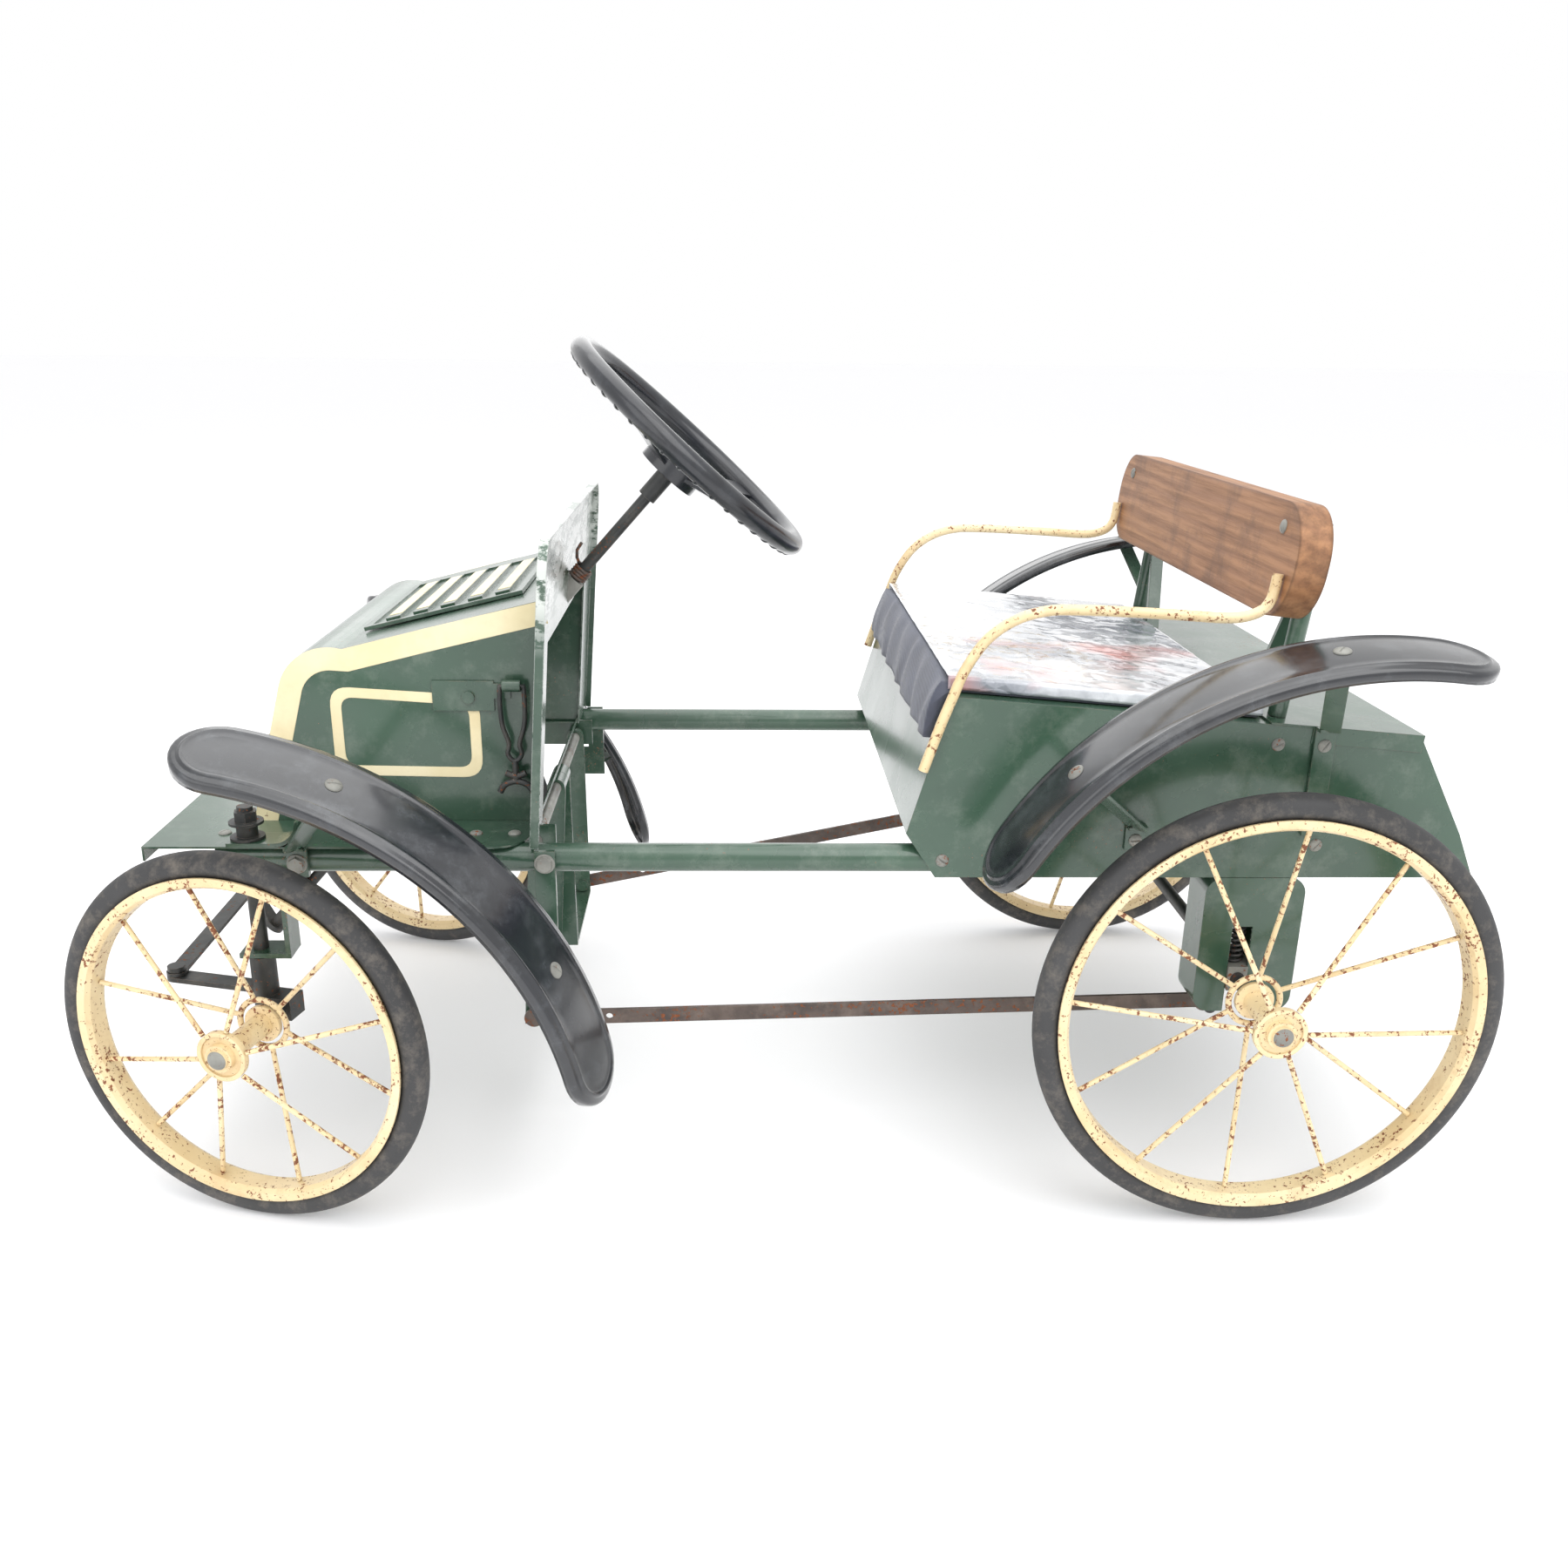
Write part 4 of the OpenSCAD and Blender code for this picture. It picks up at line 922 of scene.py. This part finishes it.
def guardMesh(name, arc, side, look):
    mesh = bpy.data.meshes.new(name)
    shape = bmesh.new()
    layers = list(reversed(look["inner"])) + look["outer"]
    rings = [
        [shape.verts.new(point) for point in guardRing(arc, side, look, inset, drop)]
        for inset, drop in layers
    ]
    count = len(rings[0])
    for a, b in zip(rings, rings[1:]):
        for i in range(count):
            j = (i + 1) % count
            shape.faces.new((a[i], a[j], b[j], b[i]))
    bmesh.ops.remove_doubles(shape, verts=shape.verts, dist=1e-6)
    bmesh.ops.recalc_face_normals(shape, faces=shape.faces)
    shape.to_mesh(mesh)
    shape.free()
    return mesh


for where, arc in (("front", frontArc), ("rear", rearArc)):
    for side, label in ((1, "left"), (-1, "right")):
        name = where + "Guard" + label.title()
        guard = addPiece(
            name, guardMesh(name, arc, side, guardShape), "chassis", "guard"
        )
        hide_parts(where + "_mudguard_" + label)

print("painted trim")
trimStyle = {
    "bonnetHalf": 155, "edge": 18, "thick": 0.35, "noseX": 716, "noseZ": 387.5, "noseR": 42,
    "below": ((786.5, 289), (776, 329)), "above": ((640, 444.7), (550, 466.5)),
    "frame": ((718, 327), (602, 325), (602, 392), (718, 399)), "frameRound": 16,
    "inside": ((709.5, 335), (610.5, 333.5), (610.5, 384), (709.5, 390.5)), "insideRound": 10,
}


def shiftPath(path, distance):
    moved = []
    for i, point in enumerate(path):
        ahead = path[min(i + 1, len(path) - 1)] - path[max(i - 1, 0)]
        moved.append(point + Vector((-ahead.y, ahead.x)).normalized() * distance)
    return moved


def ribbon(name, outer, inner, side, lift, closed=False):
    mesh = bpy.data.meshes.new(name)
    points, faces = [], []
    for offset in (0.0, trimStyle["thick"]):
        for path in (outer, inner):
            points += [place(p.x, side * (lift + offset), p.y) for p in path]
    count = len(outer)
    for i in range(count if closed else count - 1):
        j = (i + 1) % count
        low = (i, j, count + j, count + i)
        high = tuple(2 * count + k for k in low)
        faces += [low, high[::-1]]
        faces.append((i, 2 * count + i, 2 * count + j, j))
        faces.append((count + i, count + j, 3 * count + j, 3 * count + i))
    if not closed:
        for i in (0, count - 1):
            faces.append((i, count + i, 3 * count + i, 2 * count + i))
    mesh.from_pydata(points, [], faces)
    shape = bmesh.new()
    shape.from_mesh(mesh)
    bmesh.ops.recalc_face_normals(shape, faces=shape.faces)
    shape.to_mesh(mesh)
    shape.free()
    return mesh


def bonnetEdge():
    style = trimStyle
    path = [Vector(point) for point in style["below"]]
    for k in range(13):
        turn = math.radians(17.5 + 7.25 * k)
        path.append(Vector((
            style["noseX"] + style["noseR"] * math.cos(turn),
            style["noseZ"] + style["noseR"] * math.sin(turn),
        )))
    return path + [Vector(point) for point in style["above"]]


def roundedFrame(corners, radius):
    path = []
    count = len(corners)
    for i, corner in enumerate(corners):
        before = (corners[i - 1] - corner).normalized()
        after = (corners[(i + 1) % count] - corner).normalized()
        start, end = corner + before * radius, corner + after * radius
        for k in range(7):
            t = k / 6
            path.append((1 - t) ** 2 * start + 2 * t * (1 - t) * corner + t * t * end)
    return path


edge = bonnetEdge()
edgeInside = shiftPath(edge, trimStyle["edge"])
frameOutside = roundedFrame([Vector(p) for p in trimStyle["frame"]], trimStyle["frameRound"])
frameInside = roundedFrame([Vector(p) for p in trimStyle["inside"]], trimStyle["insideRound"])
for side, label in ((1, "Left"), (-1, "Right")):
    lift = trimStyle["bonnetHalf"]
    band = ribbon("bonnetEdge" + label, edge, edgeInside, side, lift)
    addPiece("bonnetEdge" + label, band, "chassis", "trim", False)
    line = ribbon("bonnetFrame" + label, frameOutside, frameInside, side, lift, True)
    addPiece("bonnetFrame" + label, line, "chassis", "trim", False)

print("louvre stripes")
louvreLook = {
    "tilt": 13.6, "count": 5, "pitch": 23, "first": 18, "width": 11, "half": 76, "top": 4.45,
    "thick": 0.6, "hingeX": 572, "hingeZ": 461.9,
}


def louvreStripes(look):
    mesh = bpy.data.meshes.new("louvreStripes")
    shape = bmesh.new()
    tilt = Euler((0, math.radians(look["tilt"]), 0)).to_matrix()
    origin = place(look["hingeX"], 0, look["hingeZ"])
    for i in range(look["count"]):
        middle = look["first"] + look["pitch"] * i
        made = bmesh.ops.create_cube(shape, size=1)["verts"]
        for vert in made:
            local = Vector((
                middle + vert.co.x * look["width"], vert.co.y * 2 * look["half"],
                look["top"] + vert.co.z * look["thick"],
            ))
            vert.co = origin + tilt @ local / 1000
    shape.to_mesh(mesh)
    shape.free()
    return mesh


addPiece("louvreStripes", louvreStripes(louvreLook), "chassis", "trim", False)

print("seat")
seatLook = {
    "front": 240, "back": 5, "half": 203, "columns": 60, "rows": 90, "thick": 10.5,
    "skirtLow": 373, "skirtTop": 418.5, "pleat": 1.3, "pleats": 21,
}
deckSlope = {"frontX": 240, "frontZ": 408, "rise": 30, "length": 357}


def deckHeight(x):
    slope = deckSlope
    return slope["frontZ"] + (x - slope["frontX"]) * slope["rise"] / slope["length"]


def seatPad(look):
    mesh = bpy.data.meshes.new("seatPad")
    shape = bmesh.new()
    profile = []
    for k in range(look["columns"] + 1):
        x = look["back"] + (look["front"] + 4 - look["back"]) * k / look["columns"]
        profile.append((x, deckHeight(x) + look["thick"]))
    for k in range(1, 13):
        t = k / 12
        profile.append((
            look["front"] + 4 + 13 * math.sin(t * math.pi / 2) ** 0.8 + 3 * t,
            look["skirtTop"] - (look["skirtTop"] - look["skirtLow"]) * t ** 1.15,
        ))
    below = [(252, look["skirtLow"] - 0.5), (243, 404)]
    for k in range(8):
        x = look["front"] - (look["front"] - look["back"]) * k / 7
        below.append((x, deckHeight(x) + 0.9))
    outline = profile + below
    rows = []
    for j in range(look["rows"] + 1):
        v = 2 * j / look["rows"] - 1
        squeeze = 1 - abs(v) ** 8 * 0.35
        row = []
        for index, (x, z) in enumerate(outline):
            spot = Vector((x / 30, v * 7, z / 30))
            lift = noise.noise(spot) * 1.6 * (1 - abs(v) ** 6)
            top = index < len(profile)
            wave = math.sin(v * look["pleats"] + noise.noise(spot * 0.6) * 3)
            fold = wave * look["pleat"] if x > 244 and top else 0.0
            height = z + lift * 0.3 if top else z
            if top and x <= 244:
                height = deckHeight(x) + (height - deckHeight(x)) * squeeze
            row.append(shape.verts.new(place(x + fold, v * look["half"], height)))
        rows.append(row)
    for a, b in zip(rows, rows[1:]):
        for i in range(len(outline)):
            j = (i + 1) % len(outline)
            shape.faces.new((a[i], a[j], b[j], b[i]))
    shape.faces.new(rows[0])
    shape.faces.new(rows[-1][::-1])
    bmesh.ops.recalc_face_normals(shape, faces=shape.faces)
    shape.to_mesh(mesh)
    shape.free()
    return mesh


pad = addPiece("seatPad", seatPad(seatLook), "chassis", "fabric")
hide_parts("seat_cushion")

filmShape = {
    "front": 243, "back": 2, "half": 204, "fold": 9, "columns": 110, "rows": 190, "lift": 11.8,
    "thick": 0.5, "bend": 2.5,
}


def filmSurface(look):
    mesh = bpy.data.meshes.new("seatFilm")
    points, faces = [], []
    width = look["rows"] + 1
    for layer in (0.0, look["thick"]):
        for i in range(look["columns"] + 1):
            for j in range(width):
                x = look["back"] + (look["front"] - look["back"]) * i / look["columns"]
                v = 2 * j / look["rows"] - 1
                across = v * (look["half"] + look["fold"])
                over = max(0.0, abs(across) - look["half"])
                turned = min(1.0, over / look["bend"])
                spot = Vector((x / 26, across / 34, 0))
                crinkle = noise.ridged_multi_fractal(spot, 1.0, 2.1, 4, 0.9, 2.0) * 0.5
                out = (crinkle * 0.6 + layer) * turned
                points.append(place(
                    x, math.copysign(min(abs(across), look["half"]) + out, v),
                    deckHeight(x) + look["lift"] + (layer + crinkle) * (1 - turned) - over,
                ))
    count = (look["columns"] + 1) * width
    for i in range(look["columns"]):
        for j in range(look["rows"]):
            a = i * width + j
            quad = (a, a + width, a + width + 1, a + 1)
            faces.append(quad[::-1])
            faces.append(tuple(k + count for k in quad))
    rim = list(range(width))
    rim += [i * width + width - 1 for i in range(1, look["columns"] + 1)]
    rim += [look["columns"] * width + j for j in range(width - 2, -1, -1)]
    rim += [i * width for i in range(look["columns"] - 1, 0, -1)]
    for k, a in enumerate(rim):
        b = rim[(k + 1) % len(rim)]
        faces.append((a, b, b + count, a + count))
    mesh.from_pydata(points, [], faces)
    shape = bmesh.new()
    shape.from_mesh(mesh)
    bmesh.ops.recalc_face_normals(shape, faces=shape.faces)
    shape.to_mesh(mesh)
    shape.free()
    return mesh


film = addPiece("seatFilm", filmSurface(filmShape), "chassis", "film")
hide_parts("seat_film")

print("floor and lights")
floorLook = {"half": 30, "colour": (0.86, 0.86, 0.87, 1), "roughness": 0.9, "glow": 0.12}
floorMesh = bpy.data.meshes.new("floor")
half = floorLook["half"]
floorMesh.from_pydata(
    [(-half, -half, 0), (half, -half, 0), (half, half, 0), (-half, half, 0)], [], [(0, 1, 2, 3)]
)
floor = bpy.data.objects.new("floor", floorMesh)
floorMaterial, _, floorShader = newMaterial("paleFloor")
floorShader.inputs["Base Color"].default_value = floorLook["colour"]
floorShader.inputs["Roughness"].default_value = floorLook["roughness"]
floorShader.inputs["Emission Color"].default_value = (1, 1, 1, 1)
floorShader.inputs["Emission Strength"].default_value = floorLook["glow"]
floorMesh.materials.append(floorMaterial)
scene.collection.objects.link(floor)

lightLook = {  # place and size in metres, power in watts
    "key": ((-0.9, 1.8, 2.6), 2.4, 42), "fill": ((1.6, 2.2, 1.6), 2.2, 18),
    "top": ((0.1, -0.3, 3.0), 3.0, 44), "back": ((0.3, -2.6, 1.9), 2.4, 14),
}
for name, (at, size, power) in lightLook.items():
    data = bpy.data.lights.new(name, "AREA")
    data.size = size
    data.energy = power
    lamp = bpy.data.objects.new(name, data)
    lamp.location = at
    lamp.rotation_euler = (Vector((0, 0, 0.3)) - Vector(at)).to_track_quat("-Z", "Y").to_euler()
    scene.collection.objects.link(lamp)
world = bpy.data.worlds.new("studio")
world.use_nodes = True
world.node_tree.nodes["Background"].inputs["Color"].default_value = (1, 1, 1, 1)
world.node_tree.nodes["Background"].inputs["Strength"].default_value = 1.0
scene.world = world
scene.view_settings.view_transform = "Standard"
